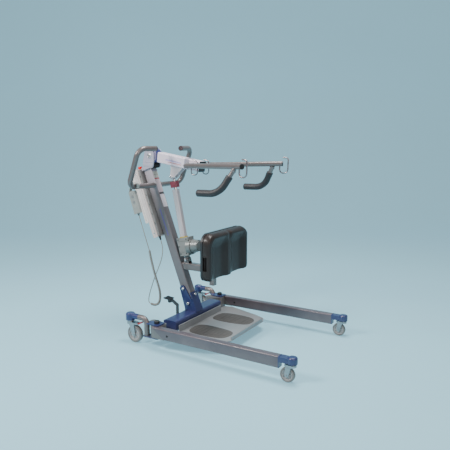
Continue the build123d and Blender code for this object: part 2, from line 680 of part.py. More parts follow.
HANDSET_Y = -200.0
HANDSET_TOP, HANDSET_FOOT = (61.0, 846.0), (103.0, 721.0)
RELIEF = 14.0
hang = Vector(HANDSET_FOOT[0] - HANDSET_TOP[0], 0, HANDSET_FOOT[1] - HANDSET_TOP[1]).normalized()
handset_foot = Vector(*at(HANDSET_FOOT[0], HANDSET_Y, HANDSET_FOOT[1]))
handset_length = hypot(HANDSET_FOOT[0] - HANDSET_TOP[0], HANDSET_FOOT[1] - HANDSET_TOP[1])
HANDSET_HALF = 13.0
with BuildPart() as handset:
    with BuildSketch(Plane(origin=handset_foot, x_dir=(-hang.Z, 0, hang.X), z_dir=-hang)):
        RectangleRounded(50, 2 * HANDSET_HALF, 8)
    extrude(amount=handset_length)
    with BuildSketch(Plane(origin=handset_foot, z_dir=hang)):
        Circle(6)
    with BuildSketch(Plane(origin=handset_foot + hang * RELIEF, z_dir=hang)):
        Circle(3.6)
    loft()
hook_side = [(43, 833), (57, 898), (106, 896), (103, 868)]
hook_path = [at(x, HANDSET_Y, z) for x, z in hook_side]
with BuildPart() as handset_hook:
    with BuildLine() as hook_line:
        FilletPolyline(*hook_path, radius=[12, 10])
    with BuildSketch(Plane(origin=hook_line.line @ 0, x_dir=(0, 1, 0), z_dir=hook_line.line % 0)):
        Rectangle(22, 3)
    sweep(path=hook_line.line)

# Two round buttons sink into shallow pockets in the handset's outer face.
BUTTON = 8.0
BUTTON_POCKET = 4.0
BUTTON_INSIDE, BUTTON_PROUD = 2.0, 2.5
button_face = handset_foot + hang * -85 + Vector(0, -HANDSET_HALF, 0)
button_seats = {"up": button_face - hang * 16, "down": button_face + hang * 16}
pockets = [
    rod_between(tuple(seat + Vector(0, BUTTON_POCKET, 0)), tuple(seat - Vector(0, 1, 0)), BUTTON + 0.1)
    for seat in button_seats.values()
]
save(handset.part.fuse(handset_hook.part).cut(*pockets), "handset")
for label, seat in button_seats.items():
    inner, outer = seat + Vector(0, BUTTON_INSIDE, 0), seat - Vector(0, BUTTON_PROUD, 0)
    save(rod_between(tuple(inner), tuple(outer), BUTTON), f"handset_button_{label}")

# ---------------------------------------------------------------- handset cord
CORD_TOP = [(110, -200, 708), (134, -201, 636), (155, -200, 572), (177, -198, 508)]
CORD_CURLY = [(177, -198, 508), (186, -187, 422), (204, -173, 334), (222, -159, 254), (207, -148, 184),
              (166, -141, 157), (130, -137, 162)]
CORD_END = [(130, -137, 162), (116, -136, 166), (110, -135, 180), (112, -132, 206), (121, -126, 246),
            (134, -119, 292), (149, -110, 340), (165, -98, 388), (176, -84, 434), (174, -68, 480),
            (160, -56, 517)]


def cord_radii(points):
    """The largest round that each corner's two runs allow."""
    corners = [Vector(*p) for p in points]
    radii = []
    for before, here, after in zip(corners, corners[1:], corners[2:]):
        turn = radians((here - before).get_angle(after - here))
        shorter = min((here - before).length, (after - here).length)
        radii.append(0.45 * shorter / tan(turn / 2))
    return radii


def cord_tube(name, points, diameter):
    """A length of cord through these points, its corners rounded as far as they allow."""
    radii = cord_radii(points)
    with BuildPart() as tube:
        with BuildLine() as route:
            FilletPolyline(*points, radius=radii)
        with BuildSketch(Plane(origin=route.line @ 0, z_dir=route.line % 0)):
            Circle(diameter / 2)
        sweep(path=route.line)
    length = sum(edge.length for edge in route.edges())
    expected = length * pi * diameter**2 / 4
    print(name, "length", round(length, 1), "radii", [round(r) for r in radii],
          "volume ratio", round(tube.part.volume / expected, 4))
    save(tube.part, name)


handset_exit = tuple(handset_foot + hang * RELIEF)
cord_tube("handset_cord_top", [handset_exit] + [at(*p) for p in CORD_TOP[1:]], CORD)
cord_tube("handset_cord_curly", [at(*p) for p in CORD_CURLY], CURLY_CORD)
cord_tube("handset_cord_end", [at(*p) for p in CORD_END] + [tuple(gland_exit)], CORD)

# ---------------------------------------------------------------- rear arms and leg pivots
REAR_BOSS_Z = (128.0, 170.0)
rear_x, rear_y = REAR_CASTOR
with BuildPart() as rear_arm:
    with BuildSketch(Plane.YZ.offset(rear_x + MAST_X)):
        with Locations((rear_y, REAR_TUBE_Z)):
            Circle(16)
    extrude(amount=62)
    with BuildSketch(Plane.XY.offset(REAR_BOSS_Z[0])):
        with Locations(at(rear_x, rear_y, 0)):
            Circle(27)
    extrude(amount=REAR_BOSS_Z[1] - REAR_BOSS_Z[0])
    fillet(rear_arm.edges().group_by(Axis.Z)[-1], 12)
    with BuildSketch(Plane.XY.offset(REAR_BOSS_Z[0])):
        with Locations(at(rear_x, rear_y, 0)):
            Circle(8.06)
    extrude(amount=26, mode=Mode.SUBTRACT)
save(pair(rear_arm.part), "rear_arms")

ELBOW_X = 270.0
elbow_side = [(rear_x + 62, REAR_TUBE_Z), (ELBOW_X, REAR_TUBE_Z), (ELBOW_X, LUG_Z[1])]
elbow_path = [at(x, rear_y, z) for x, z in elbow_side]
save(pair(bent_tube(elbow_path, [34], 31, TUBE_WALL)), "rear_elbows")

TOP_PLATE_Z = (126.0, 132.0)
top_plate = flat_plate([(268, 340, 18), (300, 306, 8), (352, 306, 10), (352, 352, 10)], *TOP_PLATE_Z)
bolt_hole = rod_between(at(*LEG_PIVOT, 100), at(*LEG_PIVOT, 150), BOLT + 0.1)
elbow_hole = rod_between(at(ELBOW_X, rear_y, 100), at(ELBOW_X, rear_y, 150), 15.5)
save(pair(top_plate.cut(bolt_hole, elbow_hole)), "leg_pivot_plates")

pivot_shank = rod_between(at(*LEG_PIVOT, LUG_Z[0] - 4), at(*LEG_PIVOT, TOP_PLATE_Z[1]), BOLT)
pivot_nut = rod_between(at(*LEG_PIVOT, LUG_Z[0] - 8), at(*LEG_PIVOT, LUG_Z[0]), 10)
with BuildPart() as pivot_knob:
    with BuildSketch(Plane.XY.offset(TOP_PLATE_Z[1])):
        with Locations(at(*LEG_PIVOT, 0)):
            Circle(15)
    extrude(amount=16)
    fillet(pivot_knob.edges().group_by(Axis.Z)[-1], 4)
save(pair(pivot_knob.part.fuse(pivot_shank, pivot_nut)), "leg_pivot_bolts")

# ---------------------------------------------------------------- legs
leg_low_z = BEAM_Z[0]
leg_high_z = leg_low_z + LEG_TUBE[1]
MITRE = ((330.0, 125.0), (417.0, 65.0))  # x, z where the leg tube meets its cast root
leg_in, leg_out = LEG_Y - LEG_TUBE[0] / 2, LEG_Y + LEG_TUBE[0] / 2
mitre_run = Vector(MITRE[1][0] - MITRE[0][0], 0, MITRE[1][1] - MITRE[0][1])
mitre_up = Vector(-mitre_run.Z, 0, mitre_run.X).normalized()
mitre_plane = Plane(origin=at(MITRE[0][0], 0, MITRE[0][1]), z_dir=mitre_up)
with BuildPart() as leg:
    with BuildSketch(Plane.YZ.offset(MITRE[0][0] + MAST_X)):
        with Locations((LEG_Y, (leg_low_z + leg_high_z) / 2)):
            RectangleRounded(*LEG_TUBE, 6)
            RectangleRounded(LEG_TUBE[0] - 5, LEG_TUBE[1] - 5, 3.5, mode=Mode.SUBTRACT)
    extrude(amount=LEG_END_X - MITRE[0][0])
    split(bisect_by=mitre_plane, keep=Keep.TOP)

root_hub = flat_plate([(272, 287, 20), (330, 330, 33), (352, 300, 16)], leg_low_z + 0.5, leg_high_z - 0.5)
root_arm = box_between(at(330, leg_in, leg_low_z), at(MITRE[1][0], leg_out, leg_high_z))
past_mitre = MITRE[1][0] + 23
above_mitre = [(MITRE[0][0], leg_high_z + 1), (past_mitre, leg_high_z + 1), (past_mitre, leg_low_z - 16)]
above_mitre += [MITRE[1], MITRE[0]]
with BuildPart() as mitre_waste:
    with BuildSketch(Plane.XZ.offset(-(leg_out + 5))):
        with BuildLine():
            Polyline(*[(x + MAST_X, z) for x, z in above_mitre], close=True)
        make_face()
    extrude(amount=LEG_TUBE[0] + 5.2)
pivot_bore = rod_between(at(*LEG_PIVOT, 40), at(*LEG_PIVOT, 140), BOLT + 0.05)
leg_root = root_hub.fuse(root_arm).cut(mitre_waste.part, pivot_bore)

front_x, front_y = FRONT_CASTOR
FRONT_BOSS_Z = (96.0, 130.0)
with BuildPart() as leg_end:
    with BuildSketch(Plane.XY.offset(FRONT_BOSS_Z[0])):
        with Locations(at(front_x, front_y, 0)):
            Circle(25)
    extrude(amount=FRONT_BOSS_Z[1] - FRONT_BOSS_Z[0])
    fillet(leg_end.edges().group_by(Axis.Z)[-1], 9)
    with BuildSketch(Plane.YZ.offset(LEG_END_X + MAST_X)):
        with Locations((LEG_Y, 110)):
            Rectangle(LEG_TUBE[0], 26)
    extrude(amount=front_x - LEG_END_X)
    with BuildSketch(Plane.YZ.offset(LEG_END_X + MAST_X)):
        with Locations((LEG_Y, (leg_low_z + leg_high_z) / 2)):
            RectangleRounded(*LEG_TUBE, 6)
    extrude(amount=4)
    with BuildSketch(Plane.XY.offset(FRONT_BOSS_Z[0])):
        with Locations(at(front_x, front_y, 0)):
            Circle(6.06)
    extrude(amount=20, mode=Mode.SUBTRACT)

for side, mirror_side in (("left", False), ("right", True)):
    for piece, name in ((leg.part, "leg"), (leg_root, "leg_root"), (leg_end.part, "leg_end")):
        save(mirrored(piece) if mirror_side else piece, f"{name}_{side}")


# ---------------------------------------------------------------- castors
def castor(x, y, radius, trail, width, crown, stem, stem_top):
    """Fork and wheel of one castor: swivel axis at x, y; the wheel trails by trail."""
    axle = at(x + trail, y, radius)
    gap = width / 2 + 1.5
    cheeks = []
    for low in (-gap - 3, gap):
        outline = [(x + trail, radius, 10), (x + trail * 0.3, crown[0], 6), (x + trail, crown[0], 6)]
        cheeks.append(side_plate(outline, y + low, y + low + 3))
    crown_plate = flat_plate([(x, y, 20), (x + trail, y, gap + 3)], *crown)
    stem_bar = rod_between(at(x, y, crown[1]), at(x, y, stem_top), stem)
    axle_bar = rod_between(at(x + trail, y - gap - 5, radius), at(x + trail, y + gap + 5, radius), 4)
    fork = crown_plate.fuse(*cheeks, stem_bar, axle_bar)
    with BuildPart() as wheel:
        wheel_side = (axle[0], y + width / 2, radius)
        with BuildSketch(Plane(origin=wheel_side, x_dir=(1, 0, 0), z_dir=(0, -1, 0))):
            Circle(radius)
            Circle(4.05, mode=Mode.SUBTRACT)
        extrude(amount=width)
        rims = wheel.edges().filter_by(GeomType.CIRCLE).filter_by(lambda e: e.radius > radius - 1)
        fillet(rims, width * 0.22)
    return fork, wheel.part


front_fork, front_wheel = castor(front_x, front_y, FRONT_WHEEL / 2, -24, 24, (80, 90), 6, 112)
rear_fork, rear_wheel = castor(rear_x, rear_y, REAR_WHEEL / 2, 34, 28, (105, 118), 8, 150)

front_washer = rod_between(at(front_x, front_y, 90), at(front_x, front_y, FRONT_BOSS_Z[0] - 0.3), 14)
rear_washer = rod_between(at(rear_x, rear_y, 118), at(rear_x, rear_y, REAR_BOSS_Z[0] - 0.3), 18)
front_fork = front_fork.fuse(front_washer)
rear_fork = rear_fork.fuse(rear_washer)

LEVER_X, LEVER_Z = 210.0, 112.0
lever_outline = [(LEVER_X, LEVER_Z, 5), (LEVER_X + 26, LEVER_Z + 13, 3.5)]
brake_lever = side_plate(lever_outline, rear_y - 11, rear_y + 11)
lever_bore = rod_between(at(LEVER_X, rear_y - 12, LEVER_Z), at(LEVER_X, rear_y + 12, LEVER_Z), 2.05)
brake_lever = brake_lever.cut(lever_bore)
lever_pin = rod_between(at(LEVER_X, rear_y - 15, LEVER_Z), at(LEVER_X, rear_y + 15, LEVER_Z), 2)
lever_ears = [
    side_plate([(LEVER_X - 17, LEVER_Z, 5), (LEVER_X, LEVER_Z, 5)], rear_y + low, rear_y + low + 3)
    for low in (-14.5, 11.5)
]
rear_fork = rear_fork.fuse(lever_pin, *lever_ears)

castor_pieces = {
    "castor_fork_front": front_fork,
    "castor_wheel_front": front_wheel,
    "castor_fork_rear": rear_fork,
    "castor_wheel_rear": rear_wheel,
    "brake_lever": brake_lever,
}
for name, piece in castor_pieces.items():
    save(piece, f"{name}_left")
    save(mirrored(piece), f"{name}_right")

# ---------------------------------------------------------------- pedals and footplate
PEDAL_Y = 90.0
ROCKER_X = (289.0, 299.0)
with BuildPart() as spread_pedals:
    with BuildSketch(Plane.YZ.offset(ROCKER_X[0] + MAST_X)) as rocker_outline:
        for y, radius in ((0, 18), (PEDAL_Y, 13), (-PEDAL_Y, 13)):
            with Locations((y, ROCKER[1])):
                Circle(radius)
        make_hull(rocker_outline.sketch_local.edges())
    extrude(amount=ROCKER_X[1] - ROCKER_X[0])
    with BuildSketch(Plane.YZ.offset(ROCKER_X[0] + MAST_X)):
        with Locations(ROCKER):
            Circle(6.05)
    extrude(amount=ROCKER_X[1] - ROCKER_X[0], mode=Mode.SUBTRACT)
pedal_bars = []
for sign in (1, -1):
    y = sign * PEDAL_Y
    upright = side_plate([(294, ROCKER[1], 8), (294, 166, 8)], y - 4, y + 4)
    reach_back = side_plate([(294, 168, 9), (258, 190, 9)], y - 4, y + 4)
    pedal_stem = side_plate([(258, 190, 9), (236, 184, 11)], y - 4, y + 4)
    tread = side_plate([(250, 199, 4), (210, 203, 4)], y - 22, y + 22)
    pedal_bars += [upright, reach_back, pedal_stem, tread]
save(spread_pedals.part.fuse(*pedal_bars), "spread_pedals")

PLATE_Z = (58.5, 64.3)
FOOT_HALF = [(402, 60), (402, 236), (373, 258), (373, 318), (425, 333), (634, 268), (705, 236),
             (728, 190), (728, 60)]
foot_points = FOOT_HALF + [(x, -y) for x, y in reversed(FOOT_HALF)]
with BuildPart() as footplate:
    with BuildSketch(Plane.XY.offset(PLATE_Z[0])):
        with BuildLine():
            Polyline(*[(x + MAST_X, y) for x, y in foot_points], close=True)
        make_face()
    extrude(amount=PLATE_Z[1] - PLATE_Z[0])
rear_lip = side_plate([(405, 100, 3), (405, 61.5, 3)], -225, 225)
front_lip = side_plate([(723, 78, 3), (723, 61.5, 3)], -180, 180)
save(footplate.part.fuse(rear_lip, front_lip), "footplate")
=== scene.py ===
"""Looks of the sit-to-stand patient lift: its cord, pads, wheels and small details around the CAD frame.

Lengths are written in millimetres from the mast's line and turned into the frame's metres by P().
"""

import json
import math

import bmesh
import bpy
import numpy as np
from mathutils import Matrix, Vector


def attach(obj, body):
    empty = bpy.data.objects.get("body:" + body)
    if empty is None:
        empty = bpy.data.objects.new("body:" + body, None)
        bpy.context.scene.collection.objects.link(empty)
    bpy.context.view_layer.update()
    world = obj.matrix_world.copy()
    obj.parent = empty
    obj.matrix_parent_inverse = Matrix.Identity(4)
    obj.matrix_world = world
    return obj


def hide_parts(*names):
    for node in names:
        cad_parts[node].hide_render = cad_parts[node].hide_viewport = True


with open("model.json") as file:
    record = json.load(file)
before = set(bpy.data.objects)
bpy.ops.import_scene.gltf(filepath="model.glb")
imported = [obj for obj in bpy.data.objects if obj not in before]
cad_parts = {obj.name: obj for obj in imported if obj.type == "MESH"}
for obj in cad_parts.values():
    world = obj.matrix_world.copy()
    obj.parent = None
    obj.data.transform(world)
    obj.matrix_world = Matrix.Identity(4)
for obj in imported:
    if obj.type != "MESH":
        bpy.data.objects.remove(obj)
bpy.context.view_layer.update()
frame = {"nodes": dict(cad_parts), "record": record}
nodes = frame["nodes"]

MAST_X = -560.5
MAST_LEAN = math.radians(21)
PIVOT = (60.0, 1052.0)
SIDES = (("left", 1), ("right", -1))
BOOM_DROP = math.radians(9.5)  # how far the boom points down at rest
VIEW_TURN, VIEW_TILT = 31.42, 8.83  # degrees that the camera is turned left and tipped down
HOOK_BAR_X, HOOK_BAR_Z = 402, 1000


def P(x, y, z):
    """A point in millimetres from the mast's line, in the frame's metres."""
    return Vector(((x + MAST_X) / 1000, y / 1000, z / 1000))


def on_mast(forward, down, y=0.0):
    """A point that far forward of the mast's axis and down it, in the frame's metres."""
    s, c = math.sin(MAST_LEAN), math.cos(MAST_LEAN)
    return P(down * s + forward * c, y, PIVOT[1] - down * c + forward * s)


MAST_UP = (on_mast(0, 0) - on_mast(0, 1)).normalized()
MAST_FRONT = (on_mast(1, 0) - on_mast(0, 0)).normalized()
X, Y, Z = Vector((1, 0, 0)), Vector((0, 1, 0)), Vector((0, 0, 1))

# ---------------------------------------------------------------- camera
camera = bpy.data.objects.new("camera", bpy.data.cameras.new("camera"))
camera.data.lens = 42.04
camera.data.sensor_width = 36
camera.location = (2.12229 + MAST_X / 1000, -2.53538, 1.125)
camera.rotation_euler = (math.radians(90 - VIEW_TILT), 0, math.radians(VIEW_TURN))
bpy.context.collection.objects.link(camera)
bpy.context.scene.camera = camera


def evaluated(obj):
    """The mesh that an object's modifiers or curve make."""
    return bpy.data.meshes.new_from_object(obj.evaluated_get(bpy.context.evaluated_depsgraph_get()))


def apply_modifiers(obj):
    mesh = evaluated(obj)
    obj.modifiers.clear()
    obj.data = mesh


def mesh_from(bm, name):
    """A new mesh from a bmesh, which is freed."""
    mesh = bpy.data.meshes.new(name)
    bm.to_mesh(mesh)
    bm.free()
    return mesh


def facing(sign, along):
    """The first direction of a slab on a side face, so that it stands outward on either side."""
    return along if sign < 0 else -along


# ---------------------------------------------------------------- materials
def surface(name, color, rough=0.5, metal=0.0, coat=0.0, vary=0.08, blotch=9.0, grain=350.0, bump=0.12,
            depth=0.0006, stretch=(1, 1, 1), pattern="noise", scuff=0.0, scuff_color=None, sheen=0.0,
            dust=0.0, spread=0.10, painted_shade=None):
    """A procedural finish: blotched colour, uneven gloss, a fine grain, a few scuffs, dust near the floor.

    The last argument, if given, is (low height, high height, colour there): painted shade that makes the colour
    darker towards the bottom.
    """
    mat = bpy.data.materials.new(name)
    mat.use_nodes = True
    tree = mat.node_tree
    shader = tree.nodes["Principled BSDF"]
    shader.inputs["Metallic"].default_value = metal
    shader.inputs["Coat Weight"].default_value = coat
    shader.inputs["Coat Roughness"].default_value = 0.12
    shader.inputs["Sheen Weight"].default_value = sheen

    def node(kind, **values):
        made = tree.nodes.new(kind)
        for key, value in values.items():
            if hasattr(made, key):
                setattr(made, key, value)
            else:
                made.inputs[key].default_value = value
        return made

    def link(a, b):
        tree.links.new(a, b)

    coords = node("ShaderNodeTexCoord")
    place = node("ShaderNodeMapping")
    place.inputs["Scale"].default_value = stretch
    link(coords.outputs["Object"], place.inputs["Vector"])
    where = place.outputs["Vector"]

    large = node("ShaderNodeTexNoise", Scale=blotch, Detail=5.0, Roughness=0.6)
    link(where, large.inputs["Vector"])
    dark = [max(0.0, channel * (1 - vary * 1.6)) for channel in color]
    light = [min(1.0, channel * (1 + vary)) for channel in color]
    tint = node("ShaderNodeValToRGB")
    tint.color_ramp.elements[0].position, tint.color_ramp.elements[1].position = 0.3, 0.7
    tint.color_ramp.elements[0].color = (*dark, 1)
    tint.color_ramp.elements[1].color = (*light, 1)
    link(large.outputs["Fac"], tint.inputs["Fac"])
    paint = tint.outputs["Color"]

    # Painted shade: below the given heights the colour is mixed towards a darker one.
    if painted_shade:
        rise = node("ShaderNodeSeparateXYZ")
        link(coords.outputs["Object"], rise.inputs["Vector"])
        share = node("ShaderNodeMapRange", interpolation_type="SMOOTHSTEP")
        share.inputs["From Min"].default_value, share.inputs["From Max"].default_value = painted_shade[1], painted_shade[0]
        link(rise.outputs["Z"], share.inputs["Value"])
        lower = node("ShaderNodeMixRGB")
        lower.inputs["Color2"].default_value = (*painted_shade[2], 1)
        link(share.outputs["Result"], lower.inputs["Fac"])
        link(paint, lower.inputs["Color1"])
        paint = lower.outputs["Color"]

    if pattern == "cells":
        fine = node("ShaderNodeTexVoronoi", Scale=grain)
        fine_out = fine.outputs["Distance"]
    else:
        fine = node("ShaderNodeTexNoise", Scale=grain, Detail=3.0, Roughness=0.55)
        fine_out = fine.outputs["Fac"]
    link(where, fine.inputs["Vector"])

    speck = node("ShaderNodeMixRGB", blend_type="MULTIPLY")
    speck.inputs["Fac"].default_value = min(1.0, vary * 2.5)
    grey = node("ShaderNodeMapRange")
    grey.inputs["From Min"].default_value, grey.inputs["From Max"].default_value = 0.25, 0.75
    grey.inputs["To Min"].default_value, grey.inputs["To Max"].default_value = 0.72, 1.0
    link(fine_out, grey.inputs["Value"])
    link(paint, speck.inputs["Color1"])
    link(grey.outputs["Result"], speck.inputs["Color2"])
    paint = speck.outputs["Color"]

    gloss = node("ShaderNodeMapRange")
    gloss.inputs["To Min"].default_value = max(0.03, rough - spread)
    gloss.inputs["To Max"].default_value = min(1.0, rough + spread)
    link(large.outputs["Fac"], gloss.inputs["Value"])
    rough_out = gloss.outputs["Result"]

    if scuff:
        marks = node("ShaderNodeTexNoise", Scale=24.0, Detail=9.0, Roughness=0.75, Distortion=1.2)
        link(where, marks.inputs["Vector"])
        mask = node("ShaderNodeMapRange")
        mask.inputs["From Min"].default_value, mask.inputs["From Max"].default_value = 0.63, 0.70
        mask.inputs["To Max"].default_value = scuff
        link(marks.outputs["Fac"], mask.inputs["Value"])
        worn = node("ShaderNodeMixRGB")
        worn.inputs["Color2"].default_value = (*(scuff_color or [min(1, c * 1.5 + 0.05) for c in color]), 1)
        link(mask.outputs["Result"], worn.inputs["Fac"])
        link(paint, worn.inputs["Color1"])
        paint = worn.outputs["Color"]
        duller = node("ShaderNodeMath", operation="MULTIPLY_ADD")
        duller.inputs[1].default_value = 0.18
        link(mask.outputs["Result"], duller.inputs[0])
        link(rough_out, duller.inputs[2])
        rough_out = duller.outputs["Value"]
    if dust:
        height = node("ShaderNodeSeparateXYZ")
        link(coords.outputs["Object"], height.inputs["Vector"])
        low = node("ShaderNodeMapRange")
        low.inputs["From Min"].default_value, low.inputs["From Max"].default_value = 0.14, 0.0
        low.inputs["To Max"].default_value = dust
        link(height.outputs["Z"], low.inputs["Value"])
        dirt = node("ShaderNodeMath", operation="MULTIPLY")
        link(low.outputs["Result"], dirt.inputs[0])
        link(large.outputs["Fac"], dirt.inputs[1])
        dusty = node("ShaderNodeMixRGB")
        dusty.inputs["Color2"].default_value = (0.34, 0.32, 0.29, 1)
        link(dirt.outputs["Value"], dusty.inputs["Fac"])
        link(paint, dusty.inputs["Color1"])
        paint = dusty.outputs["Color"]

    relief = node("ShaderNodeBump", Strength=bump, Distance=depth)
    link(fine_out, relief.inputs["Height"])
    waves = node("ShaderNodeBump", Strength=min(1.0, bump * 0.5), Distance=depth * 3)
    link(large.outputs["Fac"], waves.inputs["Height"])
    link(relief.outputs["Normal"], waves.inputs["Normal"])
    link(paint, shader.inputs["Base Color"])
    link(rough_out, shader.inputs["Roughness"])
    link(waves.outputs["Normal"], shader.inputs["Normal"])
    return mat


def sticker(name, color, rough, vary, grain=200, coat=0.2, **more):
    """A smooth printed label."""
    return surface(name, color, rough, coat=coat, vary=vary, grain=grain, bump=0.03, **more)


def set_socket(mat, socket, value):
    mat.node_tree.nodes["Principled BSDF"].inputs[socket].default_value = value


MATS = {
    "silver": surface("silver_lacquer", (0.160, 0.134, 0.132), 0.34, 0.35, 0.5, vary=0.06, grain=900,
                      scuff=0.2),
    "lavender_silver": surface("mast_lacquer", (0.46, 0.44, 0.53), 0.36, 0.15, 0.3, vary=0.04, grain=900,
                               scuff=0.15),
    "navy": surface("navy_powder_coat", (0.020, 0.030, 0.125), 0.36, 0.0, 0.35, vary=0.10, grain=520, bump=0.2,
                    scuff=0.3, scuff_color=(0.10, 0.11, 0.22), dust=0.4),
    "leg_brown": surface("leg_powder_coat", (0.112, 0.090, 0.110), 0.36, 0.15, 0.3, vary=0.10, grain=600,
                         bump=0.2, scuff=0.4, dust=0.6),
    "cast_silver": surface("cast_root", (0.17, 0.165, 0.17), 0.48, 0.35, 0.1, vary=0.14, grain=260, bump=0.35,
                           scuff=0.3, dust=0.6),
    "footplate_grey": surface("footplate_paint", (0.26, 0.28, 0.30), 0.45, 0.2, 0.1, vary=0.08, grain=380,
                              bump=0.3, scuff=0.5, scuff_color=(0.16, 0.16, 0.17), dust=0.5),
    "bolt_steel": surface("polished_bolt", (0.72, 0.72, 0.75), 0.18, 0.9, vary=0.10, grain=300, bump=0.05),
    "hook_wire": surface("bright_wire", (0.30, 0.255, 0.27), 0.26, 0.85, 0.2, vary=0.14, grain=420, bump=0.08,
                         scuff=0.2),
    "rod_steel": surface("ground_rod", (0.62, 0.62, 0.64), 0.16, 0.95, vary=0.08, grain=500, bump=0.06,
                         stretch=(1, 1, 0.06)),
    "tube_aluminium": surface("anodised_tube", (0.56, 0.53, 0.56), 0.32, 0.25, 0.2, vary=0.06, grain=900,
                              bump=0.14, stretch=(1, 1, 0.03), scuff=0.15),
    "housing_beige": surface("housing_plastic", (0.24, 0.24, 0.23), 0.42, 0.0, 0.08, vary=0.09, grain=620,
                             bump=0.3, scuff=0.25),
    "motor_grey": surface("motor_cover", (0.19, 0.205, 0.20), 0.36, 0.1, 0.2, vary=0.09, grain=620, bump=0.22),
    "box_beige": surface("box_plastic", (0.66, 0.58, 0.56), 0.44, 0.0, 0.06, vary=0.06, grain=700, bump=0.3,
                         scuff=0.2, scuff_color=(0.36, 0.34, 0.33)),
    "rail_grey": surface("rail_plastic", (0.25, 0.24, 0.235), 0.46, 0.0, vary=0.12, grain=520, bump=0.25),
    "battery_beige": surface("battery_plastic", (0.80, 0.71, 0.67), 0.44, 0.0, 0.06, vary=0.06, grain=700,
                             bump=0.3, scuff=0.2, scuff_color=(0.42, 0.40, 0.38)),
    "stop_red": surface("stop_red", (0.72, 0.012, 0.010), 0.24, 0.0, 0.5, vary=0.08, grain=300, bump=0.05),
    "brake_red": surface("brake_red", (0.42, 0.012, 0.014), 0.3, 0.0, 0.3, vary=0.12, grain=420, bump=0.15,
                         scuff=0.3, dust=0.4),
    "handset_grey": surface("handset_plastic", (0.30, 0.315, 0.30), 0.40, 0.0, 0.10, vary=0.07, grain=720,
                            bump=0.3, scuff=0.15),
    "button_grey": surface("button_rubber", (0.21, 0.22, 0.23), 0.55, 0.0, vary=0.10, grain=480, bump=0.25),
    "cord_grey": surface("cord_vinyl", (0.25, 0.24, 0.22), 0.42, 0.0, 0.05, vary=0.10, grain=520, bump=0.2),
    "gland_black": surface("gland_rubber", (0.022, 0.022, 0.024), 0.6, vary=0.2, grain=420, bump=0.3),
    "plug_dark": surface("handle_plug", (0.06, 0.03, 0.035), 0.5, vary=0.2, grain=380, bump=0.3),
    "collar_maroon": surface("maroon_collar", (0.28, 0.055, 0.085), 0.40, 0.0, 0.12, vary=0.14, grain=520,
                             bump=0.25, scuff=0.25, scuff_color=(0.42, 0.16, 0.19)),
    "knob_black": surface("knob_black", (0.022, 0.020, 0.022), 0.42, 0.0, 0.1, vary=0.2, grain=480, bump=0.25),
    "foam_charcoal": surface("foam_grip", (0.020, 0.018, 0.022), 0.50, vary=0.16, blotch=14, grain=620,
                             bump=0.4, depth=0.0006, pattern="cells", sheen=0.06, spread=0.08),
    "pad_charcoal": surface("moulded_skin", (0.028, 0.020, 0.018), 0.40, 0.0, 0.10, vary=0.14, blotch=7,
                            grain=620, bump=0.22, depth=0.0004, pattern="cells", spread=0.08,
                            scuff=0.10, scuff_color=(0.05, 0.055, 0.06)),
    "shell_black": surface("pad_shell", (0.022, 0.023, 0.026), 0.46, vary=0.2, grain=480, bump=0.3),
    "pedal_dark": surface("pedal_paint", (0.055, 0.06, 0.065), 0.42, 0.25, 0.1, vary=0.14, grain=420,
                          bump=0.25, scuff=0.5, scuff_color=(0.25, 0.25, 0.26), dust=0.4),
    "fork_zinc": surface("zinc_fork", (0.42, 0.42, 0.44), 0.32, 1.0, vary=0.16, blotch=24, grain=300,
                         bump=0.12, dust=0.5),
    "wheel_grey": surface("tyre_grey", (0.14, 0.14, 0.145), 0.66, vary=0.14, blotch=30, grain=420, bump=0.4,
                          dust=0.8),
}
set_socket(MATS["pad_charcoal"], "Specular IOR Level", 0.3)
